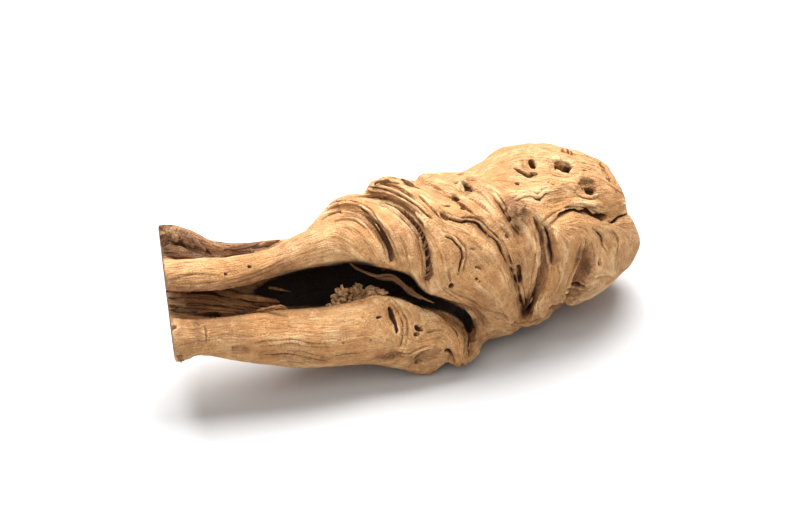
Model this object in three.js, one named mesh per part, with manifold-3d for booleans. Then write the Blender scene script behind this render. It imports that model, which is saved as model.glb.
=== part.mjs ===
// A grapewood log: one sawn and sandblasted length of an old vine, lying on the ground.
// Two stems and a bark ridge run side by side from the sawn end and leave a hollow between them.
// They grow together into a thick, twisted trunk with folds like cloth, and end in a knotted head.
//
// The surface is a signed distance in millimetres, negative inside the wood. Limbs along curves are
// blended together, the hollow and the creases are taken from them, and the level 0 is meshed.
//
// Places are given on a front drawing of the log, 800 units across and 527 down, that looks at it
// from the left and from above. One unit is DRAWING.unit millimetres of wood at depth 0, and depth
// is in millimetres, towards the back of the log. Radii, widths and heights are in millimetres.

import * as THREE from "three";
import { SimplexNoise } from "three/addons/math/SimplexNoise.js";
import { SimplifyModifier } from "three/addons/modifiers/SimplifyModifier.js";
import { mergeVertices } from "three/addons/utils/BufferGeometryUtils.js";
import Module from "manifold-3d";

// Driving dimensions of the piece.
const LENGTH = 320;
const WIDTH = 130;
const HEIGHT = 109;

// The front drawing: its scale, its middle, and how it looks at the log.
const DRAWING = {
  unit: 0.6,
  across: 400,
  down: 263.5,
  elevation: THREE.MathUtils.degToRad(30),
  azimuth: THREE.MathUtils.degToRad(-25),
  distance: 1130,
  aim: new THREE.Vector3(-7.8, -7, 55),
};

// The mesh: side of a cell of the grid, the room around the log that is meshed, how many triangles
// are kept, and how near to the surface a grid point may lie.
const CELL = 2;
const ROOM = 12;
const TRIANGLES = 11800;
const LEAST_VALUE = 0.02;
const SAME_PLACE = 0.001;

// How finely curves are followed: links between two stations, and knots between two places.
const LINKS = 3;
const KNOTS = 5;

// How softly limbs grow into each other, and how softly cuts end.
const GROWTH_BLEND = 8;
const CUT_BLEND = 5;
const TROUGH_BLEND = 3;

// The creases and strands are felt this far from the skin, and the hollow this far into the wood.
const SKIN_REACH = 14;
const HOLLOW_REACH = 60;

// The directions of the drawing in the log's own frame.
const RIGHT = new THREE.Vector3(Math.cos(DRAWING.azimuth), Math.sin(DRAWING.azimuth), 0);
const BACK = new THREE.Vector3(
  -Math.sin(DRAWING.azimuth) * Math.cos(DRAWING.elevation),
  Math.cos(DRAWING.azimuth) * Math.cos(DRAWING.elevation),
  -Math.sin(DRAWING.elevation),
);
const UP = new THREE.Vector3().crossVectors(RIGHT, BACK);

// The point of the log at a place of the drawing.
function seen(across, down, depth) {
  const spread = DRAWING.unit * (1 + depth / DRAWING.distance);
  return DRAWING.aim
    .clone()
    .addScaledVector(RIGHT, (across - DRAWING.across) * spread)
    .addScaledVector(UP, (DRAWING.down - down) * spread)
    .addScaledVector(BACK, depth);
}

// The place on the drawing of a point of the log.
function drawn(point) {
  const from = point.clone().sub(DRAWING.aim);
  const depth = from.dot(BACK);
  const spread = DRAWING.unit * (1 + depth / DRAWING.distance);
  const across = DRAWING.across + from.dot(RIGHT) / spread;
  const down = DRAWING.down - from.dot(UP) / spread;
  return { across, down, depth };
}

// Limbs: [across, down, depth, radius] along each.
const LIMBS = {
  upperStem: [
    [130, 281, -66, 10.5], [165, 279, -62, 10.4], [200, 278, -59, 10.8], [240, 273, -53, 10],
    [272, 265, -47, 9.8], [303, 252, -40, 11], [332, 245, -33, 13], [362, 238, -24, 16],
  ],
  upperStemRoot: [
    [130, 276, -43, 9], [165, 274, -40, 9], [240, 270, -32, 9], [303, 256, -20, 10.5],
    [345, 246, -12, 14],
  ],
  lowerStem: [
    [130, 340, -66, 14.2], [172, 338, -60, 13.8], [192, 336, -58, 11.8], [215, 336.5, -55, 12.4],
    [250, 337, -49, 15.4], [290, 337.5, -41, 17.3], [330, 335.5, -33, 18.2], [370, 331, -23, 19.3],
    [402, 334, -16, 19.4], [432, 337, -10, 17.5], [453, 343, -5, 15.2], [464, 337, 4, 12],
  ],
  lowerStemRoot: [
    [130, 338, -48, 11], [175, 336, -43, 11], [250, 334, -32, 12], [330, 336, -12, 15],
    [400, 330, 4, 20],
  ],
  ridge: [
    [125, 240, -38, 8], [163, 238, -33, 7.8], [182, 240, -31, 7.8], [205, 248, -28, 6.8],
    [240, 253, -22, 6.2], [275, 251, -15, 6.4], [305, 249, -8, 7.4], [345, 237, 4, 13],
  ],
  wallTop: [
    [125, 266, -30, 8], [165, 264, -27, 8], [240, 268, -14, 9], [300, 262, -2, 13],
    [350, 254, 8, 22],
  ],
  wallMiddle: [
    [125, 296, -30, 8], [165, 294, -27, 8], [240, 292, -14, 9], [300, 284, 0, 13],
    [350, 276, 12, 20],
  ],
  wallLow: [
    [125, 322, -34, 8.5], [165, 320, -31, 8.5], [240, 318, -20, 9.5], [300, 316, -4, 13],
    [360, 312, 12, 20],
  ],
  trunk: [
    [346, 242, -4, 22.5], [366, 248, -3, 33], [388, 254, -1, 40.5], [412, 257, 3, 47.5],
    [450, 256, 12, 50.5], [485, 253, 19, 51], [515, 237, 28, 50.8], [543, 231, 42, 53.5],
    [570, 229, 51, 46.5], [592, 230, 55, 39.5],
  ],
  backLobe: [
    [492, 200, 62, 18], [446, 213, 60, 21], [408, 238, 56, 22], [396, 262, 48, 17],
    [400, 272, 38, 10],
  ],
  crownRidge: [
    [511, 178, 48, 20], [542, 181, 60, 23], [578, 201, 75, 20.5], [592, 240, 76, 18],
  ],
};

// Feet, three low swellings that touch the ground: [x, y, z, radius] along each in the log's own
// frame. The ground cuts a small flat spot, FOOT_SINK high, from each.
// Between them the underside is UNDERSIDE above it.
const UNDERSIDE = 4.5;
const FOOT_SINK = 0.9;
const FEET = {
  knob: [[-24, -40, 26, 15], [-14, -42, 18, 13.5], [-8, -43.5, 11 - FOOT_SINK, 11]],
  head: [[108, 3, 38, 27], [109, 4, 15 - FOOT_SINK, 15]],
  back: [[14, 24, 40, 20], [11, 31, 12 - FOOT_SINK, 12]],
};

// The hollow between the stems: [across, down, half height, depth of its floor] along it. It
// flares towards its floor over the last HOLLOW_WALLS.run, into rounded corners.
const HOLLOW_WALLS = { run: 32, flare: 0.16, corner: 7 };
const HOLLOW = [
  [120, 304, 5.4, -42], [168, 304, 5.4, -42], [200, 305, 5.8, -38], [240, 301, 6.8, -27],
  [270, 293.5, 8.4, -16], [300, 290, 10.4, -5], [325, 285.5, 11.6, 5], [350, 281.5, 11.4, 11],
  [372, 280.5, 8.8, 13], [392, 283, 8, 10], [403, 286, 7.8, 6], [413, 294, 5.2, 2],
  [425, 300.5, 3.6, -1], [438, 304, 3.5, -5], [456, 312.5, 4, -8], [470, 320, 4.2, -8],
];

// The broken end of the head: planes by a place and an outward direction (right, up, back).
const BREAKS = [
  { at: [623, 196, 40], out: [0.93, 0.36, 0] },
  { at: [632, 261, 50], out: [0.84, -0.5, -0.12] },
  { at: [620, 250, 14], out: [0.72, 0.02, -0.68] },
  { at: [601, 169, 90], out: [0.5, 0.75, 0.42] },
  { at: [592, 298, 25], out: [0.46, -0.88, 0.15] },
];

// The trough along the front of the bark ridge: [across, down, depth, radius] along it.
const TROUGH = [
  [130, 244, -47, 8], [165, 245, -44, 8], [190, 250, -41, 7.4], [215, 254, -37, 6.4],
  [245, 256, -31, 4],
];

// Creases of the front, cut where folds of wood meet: [across, down, depth of cut] along each,
// its half width, and the height of the lip on its right. A lip stands LIP.off half widths from
// the middle, and is lower where the cut is under LIP.fullCut deep.
const LIP = { off: 2, spread: 1.4, fullCut: 3 };
const CREASE_REACH = 4;
const CREASES = {
  shoulder: {
    path: [[322, 224, 0], [338, 212, 3], [358, 213, 4], [372, 224, 5], [384, 241, 5.5],
      [391, 259, 5.5], [394, 268, 0]],
    width: 3.8,
    lip: 1.6,
  },
  sash: {
    path: [[350, 197, 0], [374, 203, 3], [396, 215, 4.5], [413, 229, 6], [422, 248, 7],
      [426, 268, 6.5], [427, 284, 5], [428, 294, 0]],
    width: 4,
    lip: 1.8,
  },
  strap: {
    path: [[338, 196, 0], [355, 191, 2.2], [386, 199, 3], [410, 211, 2.8], [430, 222, 0]],
    width: 3.6,
    lip: 1.4,
  },
  channel: {
    path: [[398, 176, 0], [412, 181, 4], [430, 191, 4.5], [450, 202, 4], [468, 213, 0]],
    width: 3.6,
    lip: 0.4,
  },
  seam: {
    path: [[440, 215, 0], [462, 221, 1.6], [483, 230, 2.4], [500, 250, 3], [514, 276, 3.4],
      [523, 305, 3.6], [524, 330, 0]],
    width: 3.8,
    lip: 0.8,
  },
  collar: {
    path: [[486, 186, 0], [497, 204, 2.4], [508, 222, 3], [519, 236, 2], [524, 246, 0]],
    width: 3.6,
    lip: 1.2,
  },
  drape: {
    path: [[528, 210, 0], [534, 224, 5], [539, 242, 6], [543, 262, 7], [540, 278, 8],
      [531, 294, 8], [524, 309, 6], [514, 324, 0]],
    width: 4.8,
    lip: 1.2,
  },
  pleat: {
    path: [[543, 220, 0], [545, 231, 4.5], [547, 248, 4.5], [550, 266, 0]],
    width: 3.8,
    lip: 1,
  },
  brow: {
    path: [[545, 226, 0], [559, 217, 2.5], [573, 211, 4.5], [590, 214, 5], [605, 217, 4.5],
      [614, 213, 0]],
    width: 3.8,
    lip: -2,
  },
  cheek: {
    path: [[594, 226, 0], [602, 240, 2.5], [610, 254, 2.4], [616, 270, 0]],
    width: 3.6,
    lip: 1,
  },
  skirt: {
    path: [[590, 244, 0], [584, 258, 5], [578, 274, 6.5], [571, 288, 6.5], [560, 304, 4],
      [548, 318, 0]],
    width: 5,
    lip: 0.8,
  },
  gusset: {
    path: [[604, 217, 0], [614, 218, 2.6], [624, 214, 3], [636, 208, 3]],
    width: 3.4,
    lip: -1.2,
  },
  hem: {
    path: [[388, 300, 0], [400, 314, 2], [404, 332, 2.2], [398, 350, 1.6], [388, 357, 0]],
    width: 3.4,
    lip: 1.2,
  },
  heel: {
    path: [[446, 348, 0], [450, 357, 3], [447, 368, 3.4], [443, 378, 3]],
    width: 3.8,
    lip: 0.8,
  },
  welt: {
    path: [[205, 352, 0], [250, 350, 1.2], [300, 352, 1.8], [345, 357, 1.5], [380, 354, 0]],
    width: 3.6,
    lip: 0.9,
  },
};

// Pits and swellings of the front: [across, down, half width, half height, depth of cut].
const DIMPLES = [
  [562, 170, 7, 4, 6],
  [588, 191, 4.5, 4, 4.5],
  [532, 166, 3.5, 3.5, 3.5],
  [466, 191, 4, 4.5, 4],
  [519, 216, 4, 4.5, -2.6],
  [586, 262, 4, 7, 4],
  [520, 278, 2.6, 7, 3],
  [470, 320, 6, 6, 7],
  [418, 362, 7, 3.5, 3.5],
  [417, 329, 3, 3, 2.5],
  [391, 321, 2.6, 6, 3.5],
  [463, 181, 6, 4, -2.2],
  [566, 240, 12, 11, -3.5],
  [495, 292, 12, 12, -1.8],
  [526, 156, 16, 6, -2.4],
  [386, 181, 8, 4, -3],
  [330, 268, 10, 7, -2],
];

// The front of the wood ends over this range of depths, measured from the middle of the wood.
const MIDDLE = { across: 168, depth: -46, rise: 0.235 };
const FRONT_ENDS = { from: -4, to: 10 };

// Strands that wind round the sides, the back and the underside, as turns about the long axis.
// They are low on the stems and grow to their full height over the given range along X.
const STRANDS = {
  count: 9,
  twistPerMillimetre: 0.0105,
  height: 2.6,
  waver: 2.2,
  waverLength: 60,
  least: 0.4,
  grow: { from: -90, to: 0 },
};
const LONG_AXIS = { across: -7, height: 58 };
const ROUGHNESS = { height: 0.8, length: 26 };

// The saw cut at the thin end, as a place and the outward direction (right, up, back).
const SAW_CUT = { at: [165, 279, -72], out: [-0.983, -0.12, -0.133] };
const CUTTER = 400;
const FAR = 1000;

// The seeded series of numbers: its seed, factor and modulus.
const SERIES = { seed: 7, factor: 16807, modulus: 2147483647 };

// Smooth least of two distances.
function blended(a, b, softness) {
  const h = Math.max(softness - Math.abs(a - b), 0) / softness;
  return Math.min(a, b) - h * h * softness * 0.25;
}

function eased(value, from, to) {
  return THREE.MathUtils.smoothstep(value, from, to);
}

// A limb as short tapered links along a smooth curve through its stations.
function limb(stations, placed) {
  const places = stations.map(([first, second, third]) => placed(first, second, third));
  const centres = new THREE.CatmullRomCurve3(places, false, "catmullrom");
  const heights = stations.map(([, , , radius], i) => new THREE.Vector2(i, radius));
  const radii = new THREE.SplineCurve(heights);
  const steps = LINKS * (stations.length - 1);
  const joints = [];
  for (let i = 0; i <= steps; i++) {
    joints.push({ centre: centres.getPoint(i / steps), radius: radii.getPoint(i / steps).y });
  }
  const links = joints.slice(1).map(({ centre, radius }, i) => {
    const start = joints[i].centre;
    const run = centre.clone().sub(start);
    const from = joints[i].radius;
    return { start, run, squared: run.lengthSq(), from, grows: radius - from };
  });
  const box = new THREE.Box3();
  for (const { centre, radius } of joints) {
    const size = new THREE.Vector3().setScalar(2 * radius);
    box.union(new THREE.Box3().setFromCenterAndSize(centre, size));
  }
  return { links, box };
}

// Distance from a point to the skin of a limb, or `beyond` where it is surely farther than that.
function toLimb({ links, box }, point, beyond) {
  if (box.distanceToPoint(point) > beyond) return beyond;
  const { x, y, z } = point;
  let least = Infinity;
  for (const { start, run, squared, from, grows } of links) {
    const px = x - start.x;
    const py = y - start.y;
    const pz = z - start.z;
    const t = Math.min(Math.max((px * run.x + py * run.y + pz * run.z) / squared, 0), 1);
    const ox = px - t * run.x;
    const oy = py - t * run.y;
    const oz = pz - t * run.z;
    const away = Math.sqrt(ox * ox + oy * oy + oz * oz) - from - t * grows;
    if (away < least) least = away;
  }
  return least;
}

// A smooth line on the drawing, with values that change along it.
function line(points) {
  const marks = points.map(([across, down]) => new THREE.Vector2(across, down));
  const places = new THREE.SplineCurve(marks);
  const steps = KNOTS * (points.length - 1);
  const knots = [];
  for (let i = 0; i <= steps; i++) {
    const at = (i / steps) * (points.length - 1);
    const from = Math.min(Math.floor(at), points.length - 2);
    const values = points[from].slice(2).map((value, k) => {
      return THREE.MathUtils.lerp(value, points[from + 1][k + 2], at - from);
    });
    const place = places.getPoint(i / steps);
    knots.push({ across: place.x, down: place.y, values });
  }
  return knots;
}

// The nearest place of a line: how far off it a point is, on which side, and the values there.
function toLine(knots, across, down) {
  const found = { off: Infinity, values: knots[0].values };
  for (let i = 0; i + 1 < knots.length; i++) {
    const a = knots[i];
    const b = knots[i + 1];
    const dx = b.across - a.across;
    const dy = b.down - a.down;
    const along = ((across - a.across) * dx + (down - a.down) * dy) / (dx * dx + dy * dy);
    const t = Math.min(Math.max(along, 0), 1);
    const ox = across - a.across - t * dx;
    const oy = down - a.down - t * dy;
    const away = Math.sqrt(ox * ox + oy * oy) * DRAWING.unit;
    if (away < Math.abs(found.off)) {
      found.off = Math.sign(dy * ox - dx * oy) * away;
      found.values = a.values.map((value, k) => THREE.MathUtils.lerp(value, b.values[k], t));
    }
  }
  return found;
}

const limbs = Object.values(LIMBS).map((stations) => limb(stations, seen));
const feet = Object.values(FEET).map((stations) => {
  return limb(stations, (x, y, z) => new THREE.Vector3(x, y, z));
});
const hollow = line(HOLLOW);
const trough = limb(TROUGH, seen);
const creases = Object.values(CREASES).map((crease) => {
  const knots = line(crease.path);
  const marks = knots.map((knot) => new THREE.Vector2(knot.across, knot.down));
  const box = new THREE.Box2().setFromPoints(marks);
  box.expandByScalar((CREASE_REACH * crease.width) / DRAWING.unit);
  return { ...crease, knots, box };
});
const breaks = BREAKS.map(({ at, out }) => ({ at: seen(...at), out: direction(out) }));
const noise = new SimplexNoise({ random: seeded(SERIES.seed) });

function direction([right, up, back]) {
  return new THREE.Vector3()
    .addScaledVector(RIGHT, right)
    .addScaledVector(UP, up)
    .addScaledVector(BACK, back)
    .normalize();
}

// A repeatable series of numbers from 0 to 1.
function seeded(seed) {
  let state = seed;
  return () => {
    state = (state * SERIES.factor) % SERIES.modulus;
    return state / SERIES.modulus;
  };
}

// Depth of the middle of the wood, by place on the drawing.
function middleDepth(across) {
  return MIDDLE.depth + MIDDLE.rise * (across - MIDDLE.across);
}

// What the creases, pits and swellings take from the front of the wood.
function frontRelief(place, front) {
  let cut = 0;
  const spot = new THREE.Vector2(place.across, place.down);
  for (const { knots, box, width, lip } of creases) {
    if (!box.containsPoint(spot)) continue;
    const { off, values } = toLine(knots, place.across, place.down);
    if (Math.abs(off) > CREASE_REACH * width) continue;
    const depth = values[0];
    const share = off / width;
    const raised = lip * Math.min(depth / LIP.fullCut, 1);
    cut += depth * Math.exp(-share * share);
    cut -= raised * Math.exp(-((share - LIP.off) ** 2) / LIP.spread);
  }
  for (const [across, down, halfWidth, halfHeight, depth] of DIMPLES) {
    const x = ((place.across - across) * DRAWING.unit) / halfWidth;
    const y = ((place.down - down) * DRAWING.unit) / halfHeight;
    cut += depth * Math.exp(-(x * x + y * y));
  }
  return cut * front;
}

// Smooth noise from -1 to 1, with lumps of about the given length.
function roughness({ x, y, z }, length) {
  return noise.noise3d(x / length, y / length, z / length);
}

// Winding strands, on what the front drawing does not show.
function strandRelief(point, front) {
  const turn = Math.atan2(point.z - LONG_AXIS.height, point.y - LONG_AXIS.across);
  const waver = STRANDS.waver * roughness(point, STRANDS.waverLength);
  const phase = STRANDS.count * (turn + STRANDS.twistPerMillimetre * point.x) + waver;
  const valley = 1 - Math.abs(Math.sin(phase / 2));
  const grown = eased(point.x, STRANDS.grow.from, STRANDS.grow.to);
  const height = STRANDS.height * THREE.MathUtils.lerp(STRANDS.least, 1, grown);
  return height * valley ** 3 * (1 - front);
}

// Signed distance of the whole log.
function wood(point) {
  const { x, y, z } = point;
  let skin = FAR;
  for (const one of limbs) {
    skin = blended(skin, toLimb(one, point, skin + GROWTH_BLEND), GROWTH_BLEND);
  }
  for (const { at, out } of breaks) {
    const past = (x - at.x) * out.x + (y - at.y) * out.y + (z - at.z) * out.z;
    skin = -blended(-skin, -past, CUT_BLEND);
  }
  skin = -blended(-skin, z - UNDERSIDE, CUT_BLEND);
  for (const one of feet) {
    skin = blended(skin, toLimb(one, point, skin + GROWTH_BLEND), GROWTH_BLEND);
  }
  if (skin > SKIN_REACH || skin < -HOLLOW_REACH) return skin;

  const place = drawn(point);
  const behind = place.depth - middleDepth(place.across);
  const front = 1 - eased(behind, FRONT_ENDS.from, FRONT_ENDS.to);
  if (Math.abs(skin) < SKIN_REACH) {
    skin += frontRelief(place, front);
    skin += strandRelief(point, front);
    skin += ROUGHNESS.height * roughness(point, ROUGHNESS.length);
  }
  const { off, values } = toLine(hollow, place.across, place.down);
  const [half, floor] = values;
  const { run, flare, corner } = HOLLOW_WALLS;
  const wider = Math.max(place.depth - (floor - run), 0) * flare;
  const inside = -blended(half + wider - Math.abs(off), floor - place.depth, corner);
  skin = -blended(-skin, inside, CUT_BLEND);
  return -blended(-skin, toLimb(trough, point, FAR), TROUGH_BLEND);
}

// The six tetrahedra of a grid cell, by the corners of the cell: bit 1 is x, bit 2 is y, bit 4 is z.
const TETRAHEDRA = [[0, 1, 3, 7], [0, 3, 2, 7], [0, 2, 6, 7], [0, 6, 4, 7], [0, 4, 5, 7], [0, 5, 1, 7]];
// Their corners in an order that keeps the handedness, with the ones inside the wood first.
const ORDERS = {
  1: [0, 1, 2, 3], 2: [1, 0, 3, 2], 4: [2, 0, 1, 3], 8: [3, 0, 2, 1],
  3: [0, 1, 2, 3], 5: [0, 2, 3, 1], 9: [0, 3, 1, 2],
  6: [1, 2, 0, 3], 10: [1, 3, 2, 0], 12: [2, 3, 0, 1],
};

// The values of a distance on a grid of cells inside a box.
function sampled(distance, box) {
  const size = box.getSize(new THREE.Vector3());
  const counts = size.toArray().map((side) => Math.ceil(side / CELL) + 1);
  const values = new Float32Array(counts[0] * counts[1] * counts[2]);
  const point = new THREE.Vector3();
  let index = 0;
  for (let k = 0; k < counts[2]; k++) {
    for (let j = 0; j < counts[1]; j++) {
      for (let i = 0; i < counts[0]; i++) {
        point.set(i, j, k).multiplyScalar(CELL).add(box.min);
        const edge = [i, j, k].some((step, axis) => step === 0 || step === counts[axis] - 1);
        const value = edge ? FAR : distance(point);
        values[index] = Math.abs(value) < LEAST_VALUE ? LEAST_VALUE : value;
        index += 1;
      }
    }
  }
  return { counts, values };
}

// The level 0 of the distance, as one indexed surface.
function skinOf(distance, box) {
  const { counts, values } = sampled(distance, box);
  const [nx, ny] = counts;
  const offset = (corner) => (corner & 1) + ((corner >> 1) & 1) * nx + (corner >> 2) * nx * ny;
  const offsets = [0, 1, 2, 3, 4, 5, 6, 7].map(offset);
  const known = new Map();
  const positions = [];
  const faces = [];

  // The vertex on the edge of the grid between two corners of a cell.
  function crossing(cell, i, j, k, from, to) {
    const low = Math.min(from, to);
    const high = Math.max(from, to);
    const start = cell + offsets[low];
    const key = start * 8 + (high ^ low);
    if (known.has(key)) return known.get(key);
    const t = values[start] / (values[start] - values[cell + offsets[high]]);
    for (const [axis, place] of [i, j, k].entries()) {
      const first = (low >> axis) & 1;
      const second = (high >> axis) & 1;
      const step = place + first + (second - first) * t;
      positions.push(box.min.getComponent(axis) + step * CELL);
    }
    known.set(key, positions.length / 3 - 1);
    return positions.length / 3 - 1;
  }

  for (let k = 0; k + 1 < counts[2]; k++) {
    for (let j = 0; j + 1 < ny; j++) {
      for (let i = 0; i + 1 < nx; i++) {
        const cell = i + j * nx + k * nx * ny;
        let inside = 0;
        for (let corner = 0; corner < 8; corner++) inside += values[cell + offsets[corner]] < 0;
        if (inside === 0 || inside === 8) continue;
        for (const tetrahedron of TETRAHEDRA) {
          let bits = 0;
          tetrahedron.forEach((corner, n) => {
            if (values[cell + offsets[corner]] < 0) bits |= 1 << n;
          });
          if (bits === 0 || bits === 15) continue;
          const whole = ORDERS[bits] ? bits : 15 - bits;
          const [a, b, c, d] = ORDERS[whole].map((n) => tetrahedron[n]);
          const edge = (from, to) => crossing(cell, i, j, k, from, to);
          if ([1, 2, 4, 8].includes(whole)) {
            const face = [edge(a, b), edge(a, c), edge(a, d)];
            faces.push(...(whole === bits ? face : face.reverse()));
          } else {
            const [p, q, r, s] = [edge(a, c), edge(a, d), edge(b, d), edge(b, c)];
            faces.push(p, q, r, p, r, s);
          }
        }
      }
    }
  }
  const surface = new THREE.BufferGeometry();
  surface.setAttribute("position", new THREE.Float32BufferAttribute(positions, 3));
  surface.setIndex(faces);
  return surface;
}

// A box that takes away all that is past a plane.
function cutterAt(place, out) {
  const cutter = new THREE.BoxGeometry(CUTTER, CUTTER, CUTTER);
  cutter.deleteAttribute("normal");
  cutter.deleteAttribute("uv");
  const turned = new THREE.Quaternion().setFromUnitVectors(new THREE.Vector3(0, 0, 1), out);
  cutter.applyQuaternion(turned);
  const middle = place.clone().addScaledVector(out, CUTTER / 2);
  cutter.translate(middle.x, middle.y, middle.z);
  return mergeVertices(cutter, SAME_PLACE);
}

const wasm = await Module();
wasm.setup();

function solid(geometry) {
  return new wasm.Manifold(
    new wasm.Mesh({
      numProp: 3,
      vertProperties: geometry.attributes.position.array,
      triVerts: new Uint32Array(geometry.index.array),
    }),
  );
}

// The largest body of a solid, without loose crumbs.
function mainBody(whole) {
  return whole.decompose().sort((a, b) => b.volume() - a.volume())[0];
}

const room = new THREE.Box3().setFromCenterAndSize(
  new THREE.Vector3(0, 0, HEIGHT / 2),
  new THREE.Vector3(LENGTH, WIDTH, HEIGHT).addScalar(2 * ROOM),
);
const skin = skinOf(wood, room);
const spare = skin.attributes.position.count - TRIANGLES / 2;
const light = await new SimplifyModifier().modify(skin, Math.max(spare, 0));
const sawn = solid(light)
  .subtract(solid(cutterAt(seen(...SAW_CUT.at), direction(SAW_CUT.out))))
  .subtract(solid(cutterAt(new THREE.Vector3(), new THREE.Vector3(0, 0, -1))));
const made = mainBody(sawn).getMesh();

const geometry = new THREE.BufferGeometry();
geometry.setAttribute("position", new THREE.BufferAttribute(made.vertProperties, 3));
geometry.setIndex(new THREE.BufferAttribute(made.triVerts, 1));
geometry.computeVertexNormals();

const timber = new THREE.MeshStandardMaterial({ color: 0xc69a68, roughness: 0.85, metalness: 0 });
const log = new THREE.Mesh(geometry, timber);
log.name = "grapewood_log";

const part = new THREE.Group();
part.add(log);

export default part;
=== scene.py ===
"""A weathered grapewood log: carved folds, loose shreds and crumbs, and a plain studio around it."""

import functools
import math
from dataclasses import dataclass

import bmesh
import bpy
import numpy as np
import openvdb
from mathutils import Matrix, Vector
from mathutils.bvhtree import BVHTree


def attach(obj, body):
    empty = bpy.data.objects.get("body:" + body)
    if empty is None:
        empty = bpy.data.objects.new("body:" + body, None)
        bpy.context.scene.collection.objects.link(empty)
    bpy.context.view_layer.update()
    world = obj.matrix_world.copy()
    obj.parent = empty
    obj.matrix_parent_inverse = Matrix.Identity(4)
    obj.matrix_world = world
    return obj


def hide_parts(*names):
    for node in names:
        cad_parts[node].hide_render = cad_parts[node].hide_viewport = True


bl_info = {
    "name": "Grapewood Log",
    "version": (1, 0, 0),
    "blender": (4, 5, 0),
    "location": "View3D > Sidebar > Grapewood",
    "description": "Carves, colours and lights a weathered grapewood log",
    "category": "Object",
}

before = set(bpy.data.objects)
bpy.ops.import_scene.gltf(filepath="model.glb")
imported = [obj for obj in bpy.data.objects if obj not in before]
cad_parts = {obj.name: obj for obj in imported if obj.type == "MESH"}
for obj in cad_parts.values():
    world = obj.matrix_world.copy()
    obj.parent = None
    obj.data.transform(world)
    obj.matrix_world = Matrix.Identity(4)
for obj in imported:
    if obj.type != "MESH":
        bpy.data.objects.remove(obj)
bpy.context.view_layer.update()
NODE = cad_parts["grapewood_log"]
BODY = "root"

MM = 0.001

# The front drawing. Places on the log are given as (across, down) on a drawing of it, seen from
# the left and from above. One unit is UNIT millimetres of wood at depth 0.
ACROSS = 400.0
DOWN = 263.5
UNIT = 0.6
AZIMUTH = math.radians(-25)
ELEVATION = math.radians(30)
DISTANCE = 1130.0
AIM = np.array([-7.8, -7.0, 55.0])
RIGHT = np.array([math.cos(AZIMUTH), math.sin(AZIMUTH), 0.0])
BACK = np.array([
    -math.sin(AZIMUTH) * math.cos(ELEVATION),
    math.cos(AZIMUTH) * math.cos(ELEVATION),
    -math.sin(ELEVATION),
])
UP = np.cross(RIGHT, BACK)
EYE = AIM - BACK * DISTANCE
PICTURE_WIDTH = 800
SENSOR = 36.0


def seen(across, down, depth=0.0):
    """The point of the log, in millimetres, at a place of the front drawing."""
    spread = UNIT * (1 + depth / DISTANCE)
    return AIM + RIGHT * (across - ACROSS) * spread + UP * (DOWN - down) * spread + BACK * depth


def drawn(points):
    """The places on the drawing of points of the log, and their depths."""
    away = points - AIM
    depth = away @ BACK
    spread = UNIT * (1 + depth / DISTANCE)
    return ACROSS + away @ RIGHT / spread, DOWN - away @ UP / spread, depth


# Smooth noise on a seeded lattice

LATTICE = 64
LEAST_SIZE = 1e-9
CORNERS = 8


@functools.cache
def lattice(seed):
    """A cube of seeded random values for wander() to read."""
    return np.random.default_rng(seed).uniform(-1, 1, (LATTICE,) * 3).astype(np.float32)


def mixed(values, low, high, part):
    """Values mixed from the corners of a cube at each point, part of the way from low to high."""
    total = np.zeros(len(low), np.float32)
    for corner in range(CORNERS):
        index = []
        weight = np.ones(len(low), np.float32)
        for axis in range(3):
            far = corner >> axis & 1
            index.append((high if far else low)[:, axis])
            weight *= part[:, axis] if far else 1 - part[:, axis]
        total += weight * values[tuple(index)]
    return total


def wander(points, size, values):
    """Smooth noise from -1 to 1 at each point, with lumps of the given size."""
    place = points / size
    whole = np.floor(place)
    part = (place - whole).astype(np.float32)
    low = whole.astype(np.int64) % LATTICE
    return mixed(values, low, (low + 1) % LATTICE, part * part * (3 - 2 * part))


def smooth_step(low, high, value):
    """0 below low, 1 above high, and an even rise between them."""
    part = np.clip((value - low) / (high - low), 0, 1)
    return part * part * (3 - 2 * part)


def soft_max(first, second, blend):
    """The larger of two distances, rounded where they meet."""
    mix = np.clip(0.5 + 0.5 * (first - second) / blend, 0, 1)
    return second + (first - second) * mix + blend * mix * (1 - mix)


def unit(vectors):
    """The vectors at length 1."""
    sizes = np.linalg.norm(vectors, axis=-1, keepdims=True)
    return vectors / np.maximum(sizes, LEAST_SIZE)


# The wood as distances on a grid

GRID_MARGIN = 12
BAND = 16
BLUR_PASSES = 2
SETTLE_STEPS = 3
LAST_CELL = 1.001


class Grid:
    """Distances to the surface of the wood in millimetres, negative inside it."""

    def __init__(self, values, corner, step):
        self.values = values
        self.corner = np.asarray(corner, float)
        self.step = step

    def window(self, low, high):
        """The slices of the grid that hold a box, and the places of their points on each axis."""
        first = np.floor((low - self.corner) / self.step).astype(int)
        last = np.ceil((high - self.corner) / self.step).astype(int) + 1
        first = np.clip(first, 0, self.values.shape)
        last = np.clip(last, 0, self.values.shape)
        slices = tuple(slice(a, b) for a, b in zip(first, last))
        axes = [self.corner[k] + self.step * np.arange(first[k], last[k]) for k in range(3)]
        return slices, axes

    def at(self, points):
        """Values of the grid at any points, mixed from those around each."""
        place = (points - self.corner) / self.step
        place = np.clip(place, 0, np.array(self.values.shape) - LAST_CELL)
        low = place.astype(np.int64)
        return mixed(self.values, low, low + 1, (place - low).astype(np.float32))

    def outward(self, points, reach):
        """The direction out of the wood at each point, felt over the given reach."""
        slope = np.empty((len(points), 3), np.float32)
        for axis in range(3):
            offset = np.zeros(3)
            offset[axis] = reach
            slope[:, axis] = self.at(points + offset) - self.at(points - offset)
        return unit(slope)

    def settle(self, points, reach):
        """The points moved onto the surface."""
        for _ in range(SETTLE_STEPS):
            points = points - self.outward(points, reach) * self.at(points)[:, None]
        return points


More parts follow.
